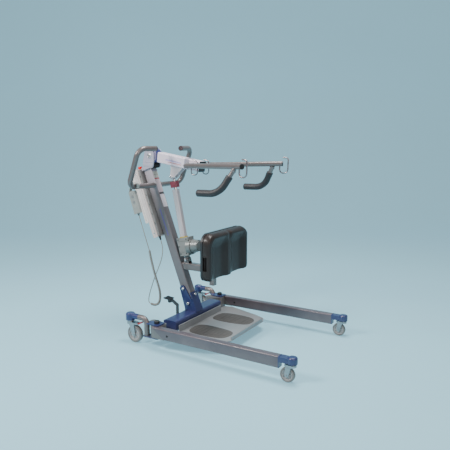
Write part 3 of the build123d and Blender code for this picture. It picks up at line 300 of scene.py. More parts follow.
EXTRA = {
    "hub": surface("wheel_hub", (0.42, 0.42, 0.43), 0.42, vary=0.08, grain=420, bump=0.2, dust=0.4),
    # Mast: its lavender top blends into a darker colour below about 0.8 m, a painted shade.
    "mast": surface("mast_paint_painted_shade", (0.47, 0.42, 0.47), 0.36, 0.15, 0.3, vary=0.05, grain=900, scuff=0.2,
                    painted_shade=(0.78, 0.96, (0.165, 0.150, 0.160))),
    # The boom and its gusset are lighter copies of the mast's lacquer: painted highlight.
    "boom": surface("boom_paint_painted_highlight", (0.80, 0.70, 0.80), 0.34, 0.05, 0.35, vary=0.03, grain=900, scuff=0.12),
    "gusset": surface("gusset_paint_painted_highlight", (0.62, 0.56, 0.59), 0.36, 0.1, 0.3, vary=0.05, grain=900, scuff=0.15),
    "band": surface("boom_band", (0.34, 0.32, 0.39), 0.38, 0.1, 0.2, vary=0.06, grain=700),
    "cap": surface("white_cap", (0.82, 0.80, 0.80), 0.2, 0.3, 0.4, vary=0.04, grain=300, bump=0.04),
    "beige": sticker("beige_label", (0.56, 0.55, 0.49), 0.4, 0.05, 260, coat=0.1, scuff=0.2,
                     scuff_color=(0.34, 0.33, 0.30)),
    "violet": sticker("violet_rule", (0.14, 0.10, 0.36), 0.4, 0.06, 260),
    "pale_violet": sticker("pale_violet_rule", (0.50, 0.42, 0.68), 0.4, 0.05, 260),
    "label": sticker("blank_label", (0.72, 0.67, 0.72), 0.35, 0.04, scuff=0.2, scuff_color=(0.40, 0.38, 0.39)),
    "pink": sticker("label_pink", (0.64, 0.52, 0.56), 0.38, 0.06),
    "red_ink": sticker("label_red", (0.56, 0.05, 0.05), 0.38, 0.06),
    # Black print, also used as painted shade inside the rail's slots.
    "black_ink": sticker("label_black_and_slot_shade", (0.02, 0.02, 0.022), 0.4, 0.1),
    "yellow": surface("yellow_ring", (0.60, 0.46, 0.03), 0.42, vary=0.08, grain=420, bump=0.15),
    "mat": surface("footplate_mat", (0.030, 0.031, 0.033), 0.72, vary=0.18, grain=520, bump=0.5, dust=0.5),
    "black": surface("black_plastic", (0.018, 0.018, 0.020), 0.40, vary=0.2, grain=420, bump=0.25),
    "seam": surface("seam_shadow", (0.10, 0.095, 0.09), 0.6, vary=0.1, grain=420, bump=0.2),
    "weld": surface("painted_weld", (0.27, 0.28, 0.30), 0.38, 0.5, 0.3, vary=0.08, grain=260, bump=0.5,
                    depth=0.0012),
    "blue_rim": surface("hub_blue", (0.035, 0.045, 0.20), 0.34, 0.1, 0.3, vary=0.10, grain=520, bump=0.15),
    # Lighter lilac copy of the hub's blue: a painted highlight on the hub's side faces.
    "lilac": surface("hub_face_painted_highlight", (0.30, 0.27, 0.44), 0.38, 0.2, 0.25, vary=0.08, grain=520, bump=0.12),
}

slot_of = {entry["node"]: entry["material_slot"] for entry in frame["record"]["subparts"]}
for name, obj in nodes.items():
    obj.data.materials.clear()
    obj.data.materials.append(MATS[slot_of[name]])
# Lit and shaded copies of one lacquer: painted highlight on the boom and gusset, painted shade on the lower
# mast.
for name, key in (("mast", "mast"), ("boom", "boom"), ("boom_gusset", "gusset")):
    nodes[name].data.materials[0] = EXTRA[key]


# ---------------------------------------------------------------- making pieces
def new_piece(name, verts, faces, mat, body, smooth=30, materials=()):
    """A mesh piece that rides on a body. mat is a key of MATS or EXTRA."""
    mesh = bpy.data.meshes.new(name)
    mesh.from_pydata([tuple(v) for v in verts], [], faces)
    return dress(bpy.data.objects.new(name, mesh), mat, body, smooth, materials)


def dress(obj, mat, body, smooth=30, materials=()):
    """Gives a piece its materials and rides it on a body."""
    bm = bmesh.new()
    bm.from_mesh(obj.data)
    bmesh.ops.recalc_face_normals(bm, faces=bm.faces)
    bm.to_mesh(obj.data)
    bm.free()
    for key in (mat, *materials):
        obj.data.materials.append(MATS.get(key) or EXTRA[key])
    if obj.name not in bpy.context.collection.objects:
        bpy.context.collection.objects.link(obj)
    obj.data.shade_smooth()
    obj.data.set_sharp_from_angle(angle=math.radians(smooth))
    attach(obj, body)
    return obj


def axes_for(direction, hint=Z):
    """Two unit vectors square to a direction."""
    direction = direction.normalized()
    side = direction.cross(hint)
    if side.length < 1e-4:
        side = direction.cross(X)
    side.normalize()
    return side, side.cross(direction).normalized()


def lathe(name, profile, origin, axis, mat, body, steps=64, closed=False, smooth=35):
    """A turned piece: profile is (radius, height along the axis) in millimetres."""
    side, up = axes_for(axis)
    axis = axis.normalized()
    verts, faces = [], []
    count = len(profile)
    for i in range(steps):
        turn = 2 * math.pi * i / steps
        ray = side * math.cos(turn) + up * math.sin(turn)
        verts += [origin + ray * r / 1000 + axis * h / 1000 for r, h in profile]
    rows = count if closed else count - 1
    for i in range(steps):
        a, b = i * count, (i + 1) % steps * count
        faces += [(a + j, a + (j + 1) % count, b + (j + 1) % count, b + j) for j in range(rows)]
    if not closed:
        faces.append([i * count for i in range(steps)])
        faces.append([i * count + count - 1 for i in range(steps)])
    return new_piece(name, verts, faces, mat, body, smooth)


def ring(name, outer, inner, low, high, origin, axis, mat, body, round_by=0.8, steps=64):
    """A turned ring with rounded edges."""
    r = round_by
    profile = [(inner, low), (outer - r, low), (outer - r * 0.3, low + r * 0.3), (outer, low + r),
               (outer, high - r), (outer - r * 0.3, high - r * 0.3), (outer - r, high), (inner, high)]
    return lathe(name, profile, origin, axis, mat, body, steps, closed=True)


def slab(name, outline, origin, u, v, thick, mat, body, bevel=0.6, materials=()):
    """A flat piece from an outline (mm along u and v), standing off the surface by its thickness."""
    normal = u.cross(v).normalized()
    bm = bmesh.new()
    low = [bm.verts.new(origin + u * a / 1000 + v * b / 1000) for a, b in outline]
    face = bm.faces.new(low)
    grown = bmesh.ops.extrude_face_region(bm, geom=[face])
    for vert in [g for g in grown["geom"] if isinstance(g, bmesh.types.BMVert)]:
        vert.co += normal * thick / 1000
    if bevel:
        bmesh.ops.recalc_face_normals(bm, faces=bm.faces)
        tops = {g for g in grown["geom"] if isinstance(g, bmesh.types.BMVert)}
        rim = [e for e in bm.edges if e.verts[0] in tops and e.verts[1] in tops]
        bmesh.ops.bevel(bm, geom=rim, offset=bevel / 1000, segments=3, affect="EDGES", profile=0.5)
    return dress(bpy.data.objects.new(name, mesh_from(bm, name)), mat, body, 40, materials)


def round_rect(width, height, radius, steps=6):
    """The outline of a rounded rectangle centred on 0, 0."""
    points = []
    for cx, cy, start in ((1, 1, 0), (-1, 1, 90), (-1, -1, 180), (1, -1, 270)):
        for i in range(steps + 1):
            turn = math.radians(start + 90 * i / steps)
            points.append((cx * (width / 2 - radius) + radius * math.cos(turn),
                           cy * (height / 2 - radius) + radius * math.sin(turn)))
    return points


def rounded_path(points, radius, step=4.0):
    """Points along straight runs whose corners are rounded, every few millimetres."""
    points = [Vector(p) for p in points]
    path = [points[0]]
    for before, here, after in zip(points, points[1:], points[2:]):
        a, b = (before - here).normalized(), (after - here).normalized()
        half = a.angle(b) / 2
        cut = radius / math.tan(half)
        centre = here + (a + b).normalized() * radius / math.sin(half)
        start, end = here + a * cut - centre, here + b * cut - centre
        turn = start.angle(end)
        count = max(6, int(turn * radius / step))
        axis = start.cross(end)
        path += [centre + Matrix.Rotation(turn * i / count, 3, axis) @ start for i in range(count + 1)]
    path.append(points[-1])
    dense = [path[0]]
    for a, b in zip(path, path[1:]):
        pieces = max(1, int((b - a).length / step))
        dense += [a.lerp(b, (i + 1) / pieces) for i in range(pieces)]
    return dense


def swept(name, path, radius_at, mat, body, steps=28, smooth=40):
    """A closed round bar along a path in mm; radius_at(distance, length) gives its radius there."""
    lengths = [0.0]
    for a, b in zip(path, path[1:]):
        lengths.append(lengths[-1] + (b - a).length)
    verts, faces = [], []
    side = None
    for i, (point, run) in enumerate(zip(path, lengths)):
        ahead = (path[min(i + 1, len(path) - 1)] - path[max(i - 1, 0)]).normalized()
        if side is None:
            side, _ = axes_for(ahead)
        side = (side - ahead * side.dot(ahead)).normalized()
        up = ahead.cross(side)
        r = radius_at(run, lengths[-1])
        for k in range(steps):
            turn = 2 * math.pi * k / steps
            verts.append(P(*(point + (side * math.cos(turn) + up * math.sin(turn)) * r)))
    for i in range(len(path) - 1):
        for k in range(steps):
            a, b = i * steps + k, i * steps + (k + 1) % steps
            faces.append((a, b, b + steps, a + steps))
    last = (len(path) - 1) * steps
    faces += [list(range(steps)), list(range(last, last + steps))]
    return new_piece(name, verts, faces, mat, body, smooth)


# ---------------------------------------------------------------- handset cord
CORD = 5.0
CORD_TOP = [(134, -201, 636), (155, -200, 572), (177, -198, 508)]
CORD_CURLY = [(177, -198, 508), (186, -187, 422), (204, -173, 334), (222, -159, 254), (207, -148, 184),
              (166, -141, 157), (130, -137, 162)]
CORD_END = [(130, -137, 162), (116, -136, 166), (110, -135, 180), (112, -132, 206), (121, -126, 246),
            (134, -119, 292), (149, -110, 340), (165, -98, 388), (176, -84, 434), (174, -68, 480),
            (160, -56, 517)]
HANDSET_TOP, HANDSET_FOOT, RELIEF = (61.0, 846.0), (103.0, 721.0), 14.0
hang = Vector((HANDSET_FOOT[0] - HANDSET_TOP[0], 0, HANDSET_FOOT[1] - HANDSET_TOP[1])).normalized()
handset_foot = Vector((HANDSET_FOOT[0], -200, HANDSET_FOOT[1]))
cord_exit = handset_foot + hang * RELIEF
gland_end = on_mast(-46, 527, -50)


def spline_object(name, points, bevel=0.0):
    """A NURBS curve through space, its points in metres."""
    curve = bpy.data.curves.new(name, "CURVE")
    curve.dimensions = "3D"
    spline = curve.splines.new("NURBS")
    spline.points.add(len(points) - 1)
    for point, place in zip(spline.points, points):
        point.co = (*place, 1)
    spline.order_u = 3
    spline.use_endpoint_u = True
    spline.resolution_u = 6
    curve.bevel_depth = bevel
    curve.bevel_resolution = 4
    curve.use_fill_caps = True
    return bpy.data.objects.new(name, curve)


def line_of(points):
    """The smooth line of a NURBS spline with these points, in metres."""
    guide = spline_object("guide", points)
    bpy.context.collection.objects.link(guide)
    mesh = evaluated(guide)
    line = [v.co.copy() for v in mesh.vertices]
    bpy.data.objects.remove(guide)
    bpy.data.meshes.remove(mesh)
    return line


HELIX_RADIUS, HELIX_PITCH, PER_TURN = 5.0, 5.9, 12
route = line_of([P(*p) for p in CORD_CURLY])
distances = [0.0]
for a, b in zip(route, route[1:]):
    distances.append(distances[-1] + (b - a).length)
total = distances[-1]
turns = int(total * 1000 / HELIX_PITCH)
helix = []
side = None
for i in range(turns * PER_TURN + 1):
    along = total * i / (turns * PER_TURN)
    k = min(max(0, int(np.searchsorted(distances, along)) - 1), len(route) - 2)
    share = (along - distances[k]) / max(distances[k + 1] - distances[k], 1e-9)
    centre = route[k].lerp(route[k + 1], share)
    ahead = (route[min(k + 2, len(route) - 1)] - route[max(k - 1, 0)]).normalized()
    if side is None:
        side, _ = axes_for(ahead)
    side = (side - ahead * side.dot(ahead)).normalized()
    up = ahead.cross(side)
    turn = 2 * math.pi * i / PER_TURN
    ease = min(1.0, i / 8, (turns * PER_TURN - i) / 8)
    helix.append(centre + (side * math.cos(turn) + up * math.sin(turn)) * HELIX_RADIUS * ease / 1000)
cord_points = [P(*cord_exit)] + [P(*p) for p in CORD_TOP[:-1]] + helix + [P(*p) for p in CORD_END[1:]]
cord_points.append(gland_end)
cord = spline_object("handset_cord", cord_points, CORD / 2000)
bpy.context.collection.objects.link(cord)
cord.data.materials.append(MATS["cord_grey"])
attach(cord, "frame")
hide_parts("handset_cord_top", "handset_cord_curly", "handset_cord_end")

# ---------------------------------------------------------------- knee pad
PAD_X = (560.6, 607.0)
PAD_Z = (370.0, 640.0)
PAD_HALF = 218.0
PAD_TOP_ROUND, PAD_LOW_ROUND = 60.0, 40.0
TROUGH = 24.0  # how deep the hollow for each shin is
TROUGH_SIDE = (10.0, 190.0)  # from the middle ridge to the outer rim
TROUGH_BELOW = 30.0  # its upper end, below the pad's top edge
TROUGH_CORNER = 44.0


def smooth_step(a, b, x):
    t = min(1.0, max(0.0, (x - a) / (b - a)))
    return t * t * (3 - 2 * t)


def corner_drop(u, radius):
    """How far a rounded corner has left the straight edge at u from the middle."""
    into = max(0.0, u - (PAD_HALF - radius))
    return radius - math.sqrt(max(0.0, radius ** 2 - into ** 2))


def roll(border, radius):
    """A rounded edge's share of the full height."""
    return math.sqrt(max(0.0, 1 - (1 - min(max(border, 0.0) / radius, 1.0)) ** 2))


def pad_depth(u, below_top, above_low):
    """How far the pad's face stands forward of its back, in mm."""
    middle = sum(TROUGH_SIDE) / 2
    half = (TROUGH_SIDE[1] - TROUGH_SIDE[0]) / 2
    across = abs(u - middle) - (half - TROUGH_CORNER)
    above = (TROUGH_BELOW + TROUGH_CORNER) - below_top
    if across > 0 and above > 0:
        inside = TROUGH_CORNER - math.hypot(across, above)
    else:
        inside = TROUGH_CORNER - max(across, above)
    hollow = math.sin(min(max(inside / 60.0, 0.0), 1.0) * math.pi / 2)
    height = PAD_X[1] - PAD_X[0] - TROUGH * hollow - 5 * smooth_step(24, 0, u)
    return height * roll(below_top, 24.0) * roll(PAD_HALF - u, 12.0) * roll(above_low, 9.0)


def pad_mesh(columns, rows, shrink=0.0):
    verts, faces = [], []
    fronts = {}
    for i in range(columns + 1):
        t = -1 + 2 * i / columns
        y = PAD_HALF * math.copysign(abs(math.sin(t * math.pi / 2)) ** 0.9, t) if abs(t) > 1e-9 else 0.0
        u = abs(y)
        top, low = PAD_Z[1] - corner_drop(u, PAD_TOP_ROUND), PAD_Z[0] + corner_drop(u, PAD_LOW_ROUND)
        for j in range(rows + 1):
            v = (1 - math.cos(math.pi * j / rows)) / 2
            z = low + (top - low) * v
            depth = pad_depth(u, top - z, z - low)
            fronts[i, j] = len(verts)
            verts.append(P(PAD_X[0] + depth - shrink * min(1, depth / 10), y, z))
    back = len(verts)
    for i in range(columns + 1):
        for j in range(rows + 1):
            _, y, z = verts[fronts[i, j]]
            verts.append(Vector(((PAD_X[0] + MAST_X) / 1000, y, z)))
    for i in range(columns):
        for j in range(rows):
            a, b, c, d = fronts[i, j], fronts[i + 1, j], fronts[i + 1, j + 1], fronts[i, j + 1]
            faces.append((a, b, c, d))
            faces.append((back + d, back + c, back + b, back + a))
    mesh = bpy.data.meshes.new("knee_cushion")
    mesh.from_pydata([tuple(v) for v in verts], [], faces)
    bm = bmesh.new()
    bm.from_mesh(mesh)
    bmesh.ops.remove_doubles(bm, verts=bm.verts, dist=0.0004)
    bmesh.ops.recalc_face_normals(bm, faces=bm.faces)
    bm.to_mesh(mesh)
    bm.free()
    return mesh


def puff(obj, voxel, pressure, cap, frames=20):
    """Remeshes a pad and lets it swell a little as cloth; no point moves further than the cap."""
    view = bpy.context.view_layer
    view.objects.active = obj
    remesh = obj.modifiers.new("voxels", "REMESH")
    remesh.mode, remesh.voxel_size = "VOXEL", voxel
    apply_modifiers(obj)
    before = np.array([v.co[:] for v in obj.data.vertices])
    cloth = obj.modifiers.new("cloth", "CLOTH")
    cloth.settings.use_pressure = True
    cloth.settings.uniform_pressure_force = pressure
    cloth.settings.effector_weights.gravity = 0
    cloth.settings.tension_stiffness = 40
    cloth.settings.bending_stiffness = 20
    scene = bpy.context.scene
    for number in range(1, frames + 1):
        scene.frame_set(number)
    after = np.array([v.co[:] for v in evaluated(obj).vertices])
    obj.modifiers.clear()
    scene.frame_set(1)
    move = after - before
    far = np.linalg.norm(move, axis=1, keepdims=True)
    move *= np.minimum(1.0, cap / np.maximum(far, 1e-9))
    for vert, place in zip(obj.data.vertices, before + move):
        vert.co = place


cushion = bpy.data.objects.new("knee_cushion", pad_mesh(110, 66, shrink=1.5))
bpy.context.collection.objects.link(cushion)
puff(cushion, 0.004, 3.0, 0.0025)
smoother = cushion.modifiers.new("smooth", "SMOOTH")
smoother.iterations, smoother.factor = 3, 0.4
refine = cushion.modifiers.new("refine", "SUBSURF")
refine.levels = refine.render_levels = 1
apply_modifiers(cushion)
low_x = (PAD_X[0] + MAST_X) / 1000
for vert in cushion.data.vertices:
    vert.co.x = max(vert.co.x, low_x)


def cut_pocket(obj, low, high):
    """Cuts a straight-sided pocket, given in metres, out of a piece."""
    box = bmesh.new()
    bmesh.ops.create_cube(box, size=1.0)
    for vert in box.verts:
        vert.co = Vector([(a + b) / 2 + c * (b - a) for a, b, c in zip(low, high, vert.co)])
    cutter = bpy.data.objects.new("pocket", mesh_from(box, "pocket"))
    bpy.context.collection.objects.link(cutter)
    cut = obj.modifiers.new("cut", "BOOLEAN")
    cut.operation, cut.solver, cut.object = "DIFFERENCE", "EXACT", cutter
    apply_modifiers(obj)
    bpy.data.objects.remove(cutter)


for side_name, sign in SIDES:
    ends = [P(564, sign * 195, 435), P(588, sign * 222, 513)]
    cut_pocket(cushion, [min(a, b) for a, b in zip(*ends)], [max(a, b) for a, b in zip(*ends)])
dress(cushion, "pad_charcoal", "knee_rest", smooth=80)
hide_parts("knee_pad")

# ---------------------------------------------------------------- foam grips
GRIP = [(764, 219.5, 996), (690, 252, 868), (559, 253, 866)]
GRIP_BEND = 100.0
for side_name, sign in SIDES:
    first, corner, last = [Vector((x, sign * y, z)) for x, y, z in GRIP]
    start = first + (corner - first) * 0.30
    end = last + (last - corner).normalized() * 6

    def grip_radius(run, length):
        """Full along its run, rolled in at the free end, with a thin rolled lip where it starts."""
        near, far = run, length - run
        r = 18.8 + 0.25 * math.sin(run / 9.0) + 0.35 * smooth_step(60, 0, far)
        if far < 9:
            r *= math.sqrt(max(0.02, 1 - (1 - far / 9) ** 2))
        if near < 3:
            r *= 0.84 + 0.16 * math.sqrt(max(0.0, 1 - (1 - near / 3) ** 2))
        return r

    path = rounded_path([start, corner, end], GRIP_BEND, 3.0)
    tail = path[-1] - path[-2]
    ends = [path[-1] - tail.normalized() * d for d in (8.5, 7.5, 6, 4.5, 3, 1.8, 0.9, 0.3, 0)]
    path = [p for p in path if (p - path[-1]).length > 9.5] + ends
    lead = (path[1] - path[0]).normalized()
    path = [path[0] + lead * d for d in (0, 0.4, 1.0, 1.8, 3.0)] + path[2:]
    grip = swept(f"foam_grip_{side_name}", path, grip_radius, "foam_charcoal", "boom", steps=40, smooth=60)
    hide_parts("foam_grips")

# ---------------------------------------------------------------- wheels
CASTORS = (("front", 37.5, 24.0, 1168, 361, -24), ("rear", 50.0, 28.0, 150, 345, 34))
for place, radius, width, x, y, trail in CASTORS:
    for side_name, sign in SIDES:
        body = f"{place}_wheel_{side_name}"
        centre = P(x + trail, sign * y, radius)
        half = width / 2
        tread = [(radius * 0.70, -half + 3), (radius * 0.74, -half + 0.8), (radius * 0.86, -half),
                 (radius * 0.94, -half + 1.2), (radius * 0.985, -half + 4.2), (radius - 0.15, -half * 0.35),
                 (radius, 0)]
        tread = tread + [(r, -h) for r, h in reversed(tread[:-1])]
        tyre = lathe(f"tyre_{place}_{side_name}", tread, centre, Y, "wheel_grey", body, 96, closed=True,
                     smooth=50)
        dish = [(4.05, -half + 1), (9, -half + 1), (10, -half + 2), (10, -half + 7),
                (radius * 0.60, -half + 8), (radius * 0.63, -half + 2.5), (radius * 0.66, -half + 1.6),
                (radius * 0.71, -half + 2.2), (radius * 0.71, half - 2.2)]
        dish += [(r, -h) for r, h in reversed(dish[:-2])]
        hub = lathe(f"hub_{place}_{side_name}", dish, centre, Y, "hub", body, 64,
                    closed=True)
        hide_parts(f"castor_wheel_{place}_{side_name}")
        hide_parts(f"castor_wheel_{place}_{side_name}")
        for index in range(6):
            turn = math.radians(60 * index + 15)
            ray = Vector((math.cos(turn), 0, math.sin(turn)))
            across = Vector((-math.sin(turn), 0, math.cos(turn)))
            for face in (-1, 1):
                base = centre + Y * face * (half - 8.2) / 1000 + ray * (9 + radius * 0.61) / 2000
                rib = round_rect(radius * 0.61 - 8, 3.2, 1.2, 3)
                u_dir, v_dir = (ray, across) if ray.cross(across).dot(Y) * face > 0 else (ray, -across)
                slab(f"rib_{place}_{side_name}_{index}_{'in' if face < 0 else 'out'}", rib, base, u_dir, v_dir,
                     5.2, "hub", body, bevel=0.7)

# ---------------------------------------------------------------- labels and trim on the mast
def mast_label(name, low, high, width, mat, lift=0.0):
    """A blank sticker on the mast's front face, between two places down it."""
    middle = on_mast(30 + lift, (low + high) / 2)
    slab(name, round_rect(width, high - low, 1.5, 4), middle, Y, MAST_UP, 0.35, mat, "frame",
         bevel=0.12)


mast_label("mast_label_top", 114.5, 155, 46, "beige")
mast_label("mast_label_top_rule", 133, 135.5, 34, "rail_grey", 0.3)
mast_label("mast_label_rule", 157, 162, 46, "red_ink")
mast_label("mast_label_middle", 164, 246, 44, "pink")
mast_label("mast_label_mark", 251, 258, 42, "black_ink", 0.05)
mast_label("mast_label_low", 261, 341, 40, "label")
mast_label("mast_top_band", 99, 112, 54, "band")
slab("mast_side_rule", round_rect(6, 170, 2.5, 4), on_mast(2, 430, -27.5), MAST_FRONT, MAST_UP, 0.35, "violet",
     "frame", bevel=0.12)

# A rubber stop that the boom's hub comes down on.
stop_outline = [(-14, -12), (12, -16), (16, 0), (14, 14), (-8, 16), (-16, 6)]
slab("boom_stop", stop_outline, on_mast(46, 84, 22), MAST_FRONT, MAST_UP, 44, "black",
     "frame", bevel=2.0)

# ---------------------------------------------------------------- boom hub, bolts
BOOM_DIR = Vector((math.cos(BOOM_DROP), 0, -math.sin(BOOM_DROP)))
pivot = P(PIVOT[0], 0, PIVOT[1])
CAP_PROFILE = [(0, 0), (15.5, 0), (15.5, 2.2), (14.2, 4.4), (11.0, 6.4), (8.4, 7.6), (6.6, 8.2), (6.0, 8.0),
               (5.4, 4.0), (0, 3.6)]
for side_name, sign in SIDES:
    out = Y * sign
    lathe(f"pivot_cap_{side_name}", CAP_PROFILE[::-1], pivot + out * 38.5 / 1000, out, "cap", "frame")
    # The hub's side flanges carry a painted highlight, a lighter lilac copy of the hub's blue.
    ring(f"hub_flange_{side_name}", 47.0, 30.0, -31.0, -25.0, pivot, -out, "lilac", "boom",
         round_by=1.0, steps=96)
ring("hub_band", 47.2, 45.0, -24.0, 24.0, pivot, Y, "blue_rim", "boom", round_by=0.8, steps=96)
BOOM_UP = Vector((math.sin(BOOM_DROP), 0, math.cos(BOOM_DROP)))


def on_boom(along, up, y=0.0):
    """A point along the boom from its pivot, in the frame's metres."""
    return pivot + (BOOM_DIR * along + BOOM_UP * up + Y * y) / 1000


def boom_trim(name, outline, spot, u, v, thick, mat, bevel):
    slab(name, outline, spot, u, v, thick, mat, "boom", bevel=bevel)


band_outline = round_rect(34, 56, 1.5, 3)
for side_name, sign in SIDES:
    u = facing(sign, BOOM_DIR)
    boom_trim(f"boom_band_{side_name}", band_outline, on_boom(273, 0, sign * 30), u, BOOM_UP, 0.8, "band", 0.3)
    boom_trim(f"boom_rule_{side_name}", round_rect(98, 3.2, 1.2, 3), on_boom(186, -14, sign * 30), u, BOOM_UP,
              0.3, "red_ink", 0.1)
    boom_trim(f"boom_bar_{side_name}", round_rect(116, 8, 3.5, 5), on_boom(176, -3, sign * 30), u, BOOM_UP,
              0.3, "pale_violet", 0.1)
    cheek = P(0, sign * 38.5, 0) - P(0, 0, 0)
    for name, outline, x, z, thick, bevel in (("head_band", round_rect(76, 19, 6, 6), 48, 996, 2.4, 1.8),
                                              ("head_ridge", round_rect(72, 7, 3, 6), 51, 1014, 1.6, 1.2)):
        slab(f"{name}_{side_name}", outline, P(x, 0, z) + cheek, facing(sign, X), Z, thick, "lavender_silver",
             "frame", bevel=bevel)
boom_trim("boom_band_top", band_outline, on_boom(273, 30.5), BOOM_DIR, Y, 0.8, "band", 0.3)
boom_trim("boom_band_low", band_outline, on_boom(273, -30.5), BOOM_DIR, -Y, 0.8, "band", 0.3)


def socket_head(name, origin, out, size, mat="bolt_steel", body="frame"):
    """A dome-headed bolt's polished crown with a hexagon socket sunk in it."""
    bm = bmesh.new()
    side, up = axes_for(out)
    steps = 48
    turns = [2 * math.pi * i / steps for i in range(steps)]
    rays = [side * math.cos(turn) + up * math.sin(turn) for turn in turns]
    crown = [(1.0, 0.0), (0.985, 0.16), (0.93, 0.30), (0.82, 0.42), (0.66, 0.51), (0.52, 0.56)]
    hexagon = [0.40 / math.cos((turn % (math.pi / 3)) - math.pi / 6) for turn in turns]
    levels = [([share] * steps, height) for share, height in crown] + [(hexagon, 0.56), (hexagon, 0.18)]
    loops = []
    for shares, height in levels:
        places = [origin + (ray * share + out * height) * size / 1000 for ray, share in zip(rays, shares)]
        loops.append([bm.verts.new(place) for place in places])
    for a, b in zip(loops, loops[1:]):
        for i in range(steps):
            bm.faces.new((a[i], a[(i + 1) % steps], b[(i + 1) % steps], b[i]))
    bm.faces.new(loops[0])
    bm.faces.new(loops[-1])
    return dress(bpy.data.objects.new(name, mesh_from(bm, name)), mat, body, 35)


STRAP_OUT = Vector((math.cos(MAST_LEAN), 0, math.sin(MAST_LEAN)))
for index, (x, z) in enumerate(((299, 256), (335, 169))):
    for side_name, sign in SIDES:
        socket_head(f"bracket_crown_{index}_{side_name}", P(x, sign * 39.8, z), Y * sign, 9.4)
socket_head("strap_crown", on_mast(42.6, 903), STRAP_OUT, 9.4)
for side_name, sign in SIDES:
    socket_head(f"clevis_crown_{side_name}", P(212, sign * 26.8, 925), Y * sign, 8.6, body="boom")
    socket_head(f"foot_crown_{side_name}", P(309, sign * 24.0, 434), Y * sign, 8.4)


# ---------------------------------------------------------------- welds
def weld(name, centre, axis, radius, body, tilt=None, flat=1.0):
    """A lumpy painted bead round a tube, in the plane square to its axis; tilt turns that plane."""
    side, up = axes_for(tilt or axis)
    along = (tilt or axis).normalized()
    verts, faces = [], []
    steps, section = 96, 10
    for i in range(steps):
        turn = 2 * math.pi * i / steps
        ray = side * math.cos(turn) + up * math.sin(turn) * flat
        lump = 1 + 0.16 * math.sin(turn * 22) + 0.05 * math.sin(turn * 7 + 1)
        for k in range(section):
            a = 2 * math.pi * k / section
            verts.append(centre + ray * (radius + math.cos(a) * 2.3 * lump) / 1000
                         + along * math.sin(a) * 2.6 * lump / 1000)
    for i in range(steps):
        for k in range(section):
            a, b = i * section + k, i * section + (k + 1) % section
            c, d = (i + 1) % steps * section + (k + 1) % section, (i + 1) % steps * section + k
            faces.append((a, b, c, d))
    return new_piece(name, verts, faces, "weld", body, 60)


def on_hook_bar(y):
    return P(HOOK_BAR_X, y, HOOK_BAR_Z)


arm_root, arm_tip = Vector((341, 66.4, 998.2)), Vector((815, 237, 1009))
arm = (arm_tip - arm_root).normalized()
hook_spot = arm_root + arm * (HOOK_BAR_X - arm_root.x) / arm.x
grip_top, grip_next = Vector(GRIP[0]), Vector(GRIP[1])
run = (grip_next - grip_top).normalized()
spot = grip_top + run * 13
for side_name, sign in SIDES:
    weld(f"handle_weld_{side_name}", P(89, sign * 29.5, 874), Y, 15.8, "frame")
    along = Vector((run.x, run.y * sign, run.z))
    weld(f"grip_weld_{side_name}", P(spot.x, sign * spot.y, spot.z), along, 12.9, "boom")
    weld(f"arm_weld_{side_name}", P(341, sign * 31.2, 998.2), Y, 14.9, "boom")
    weld(f"bar_boom_weld_{side_name}", on_hook_bar(sign * 30.8), Y, 8.4, "boom")
    weld(f"hook_bar_weld_{side_name}", on_hook_bar(sign * (hook_spot.y - 15.6)), Y, 8.4, "boom")

# ---------------------------------------------------------------- hook bar clips
for side_name, sign in SIDES:
    for index, shift in enumerate((-8.5, 8.5)):
        ring(f"bar_clip_{side_name}_{index}", 11.0, 8.05, -3.2, 3.2, on_hook_bar(sign * 58 + shift), Y, "black",
             "boom", round_by=1.2)
    lathe(f"bar_sleeve_{side_name}", [(8.05, -6), (9.6, -5.6), (9.9, 0), (9.6, 5.6), (8.05, 6)],
          on_hook_bar(sign * 39.5), Y, "black", "boom")

# ---------------------------------------------------------------- actuator
FOOT, EYE = Vector((309, 0, 434)), Vector((212, 0, 925))
ALONG = (EYE - FOOT).normalized()
ACROSS = Vector((ALONG.z, 0, -ALONG.x))


def on_actuator(along, forward=0.0, y=0.0):
    place = FOOT + ALONG * along + ACROSS * forward
    return P(place.x, place.y + y, place.z)


def collar_band(name, width, depth, corner, low, high, wall, mat, body, shift=0.0, bevel=0.5):
    """A thin square sleeve round the actuator."""
    outer, inner = round_rect(width, depth, corner, 6), round_rect(width - 2 * wall, depth - 2 * wall,
                                                                   max(1.0, corner - wall), 6)
    verts, faces = [], []
    count = len(outer)
    for outline, height in ((inner, low), (outer, low), (outer, high), (inner, high)):
        verts += [on_actuator(height, a + shift, b) for a, b in outline]
    for level in range(4):
        a0, b0 = level * count, (level + 1) % 4 * count
        for i in range(count):
            j = (i + 1) % count
            faces.append((a0 + i, a0 + j, b0 + j, b0 + i))
    return new_piece(name, verts, faces, mat, body, 40)


collar_band("yellow_ring", 42.5, 42.5, 13, 133.5, 139.5, 2.0, "yellow", "actuator")
collar_band("tube_end_cap", 40.0, 40.0, 12.5, 417, 424.4, 3.0, "tube_aluminium", "actuator")
collar_band("housing_seam_low", 72.6, 61.6, 8.5, 46.2, 47.8, 2.2, "seam", "actuator", 2.8)
collar_band("housing_seam_high", 86.6, 64.0, 8.5, 112.0, 113.8, 2.2, "seam", "actuator", 6.9)
lathe("rod_wiper", [(7.2, 424), (13.5, 424), (13.5, 424.6), (12.8, 425.1), (7.2, 425.1)], P(*FOOT), ALONG,
      "black", "actuator")
for index, (along, forward) in enumerate(((38, -24), (38, 26), (123, -28), (123, 42), (82, 44), (82, -28))):
    for side_name, sign in SIDES:
        half = 30 + 2 * (along - 24) / 110
        spot = on_actuator(along, forward * 0.86, sign * (half - 0.2))
        finish = "black" if index != 4 else "bolt_steel"
        socket_head(f"housing_screw_{index}_{side_name}", spot, Y * sign, 4.2, finish, "actuator")
motor_dir = Vector((math.cos(math.radians(8)), 0, math.sin(math.radians(8))))
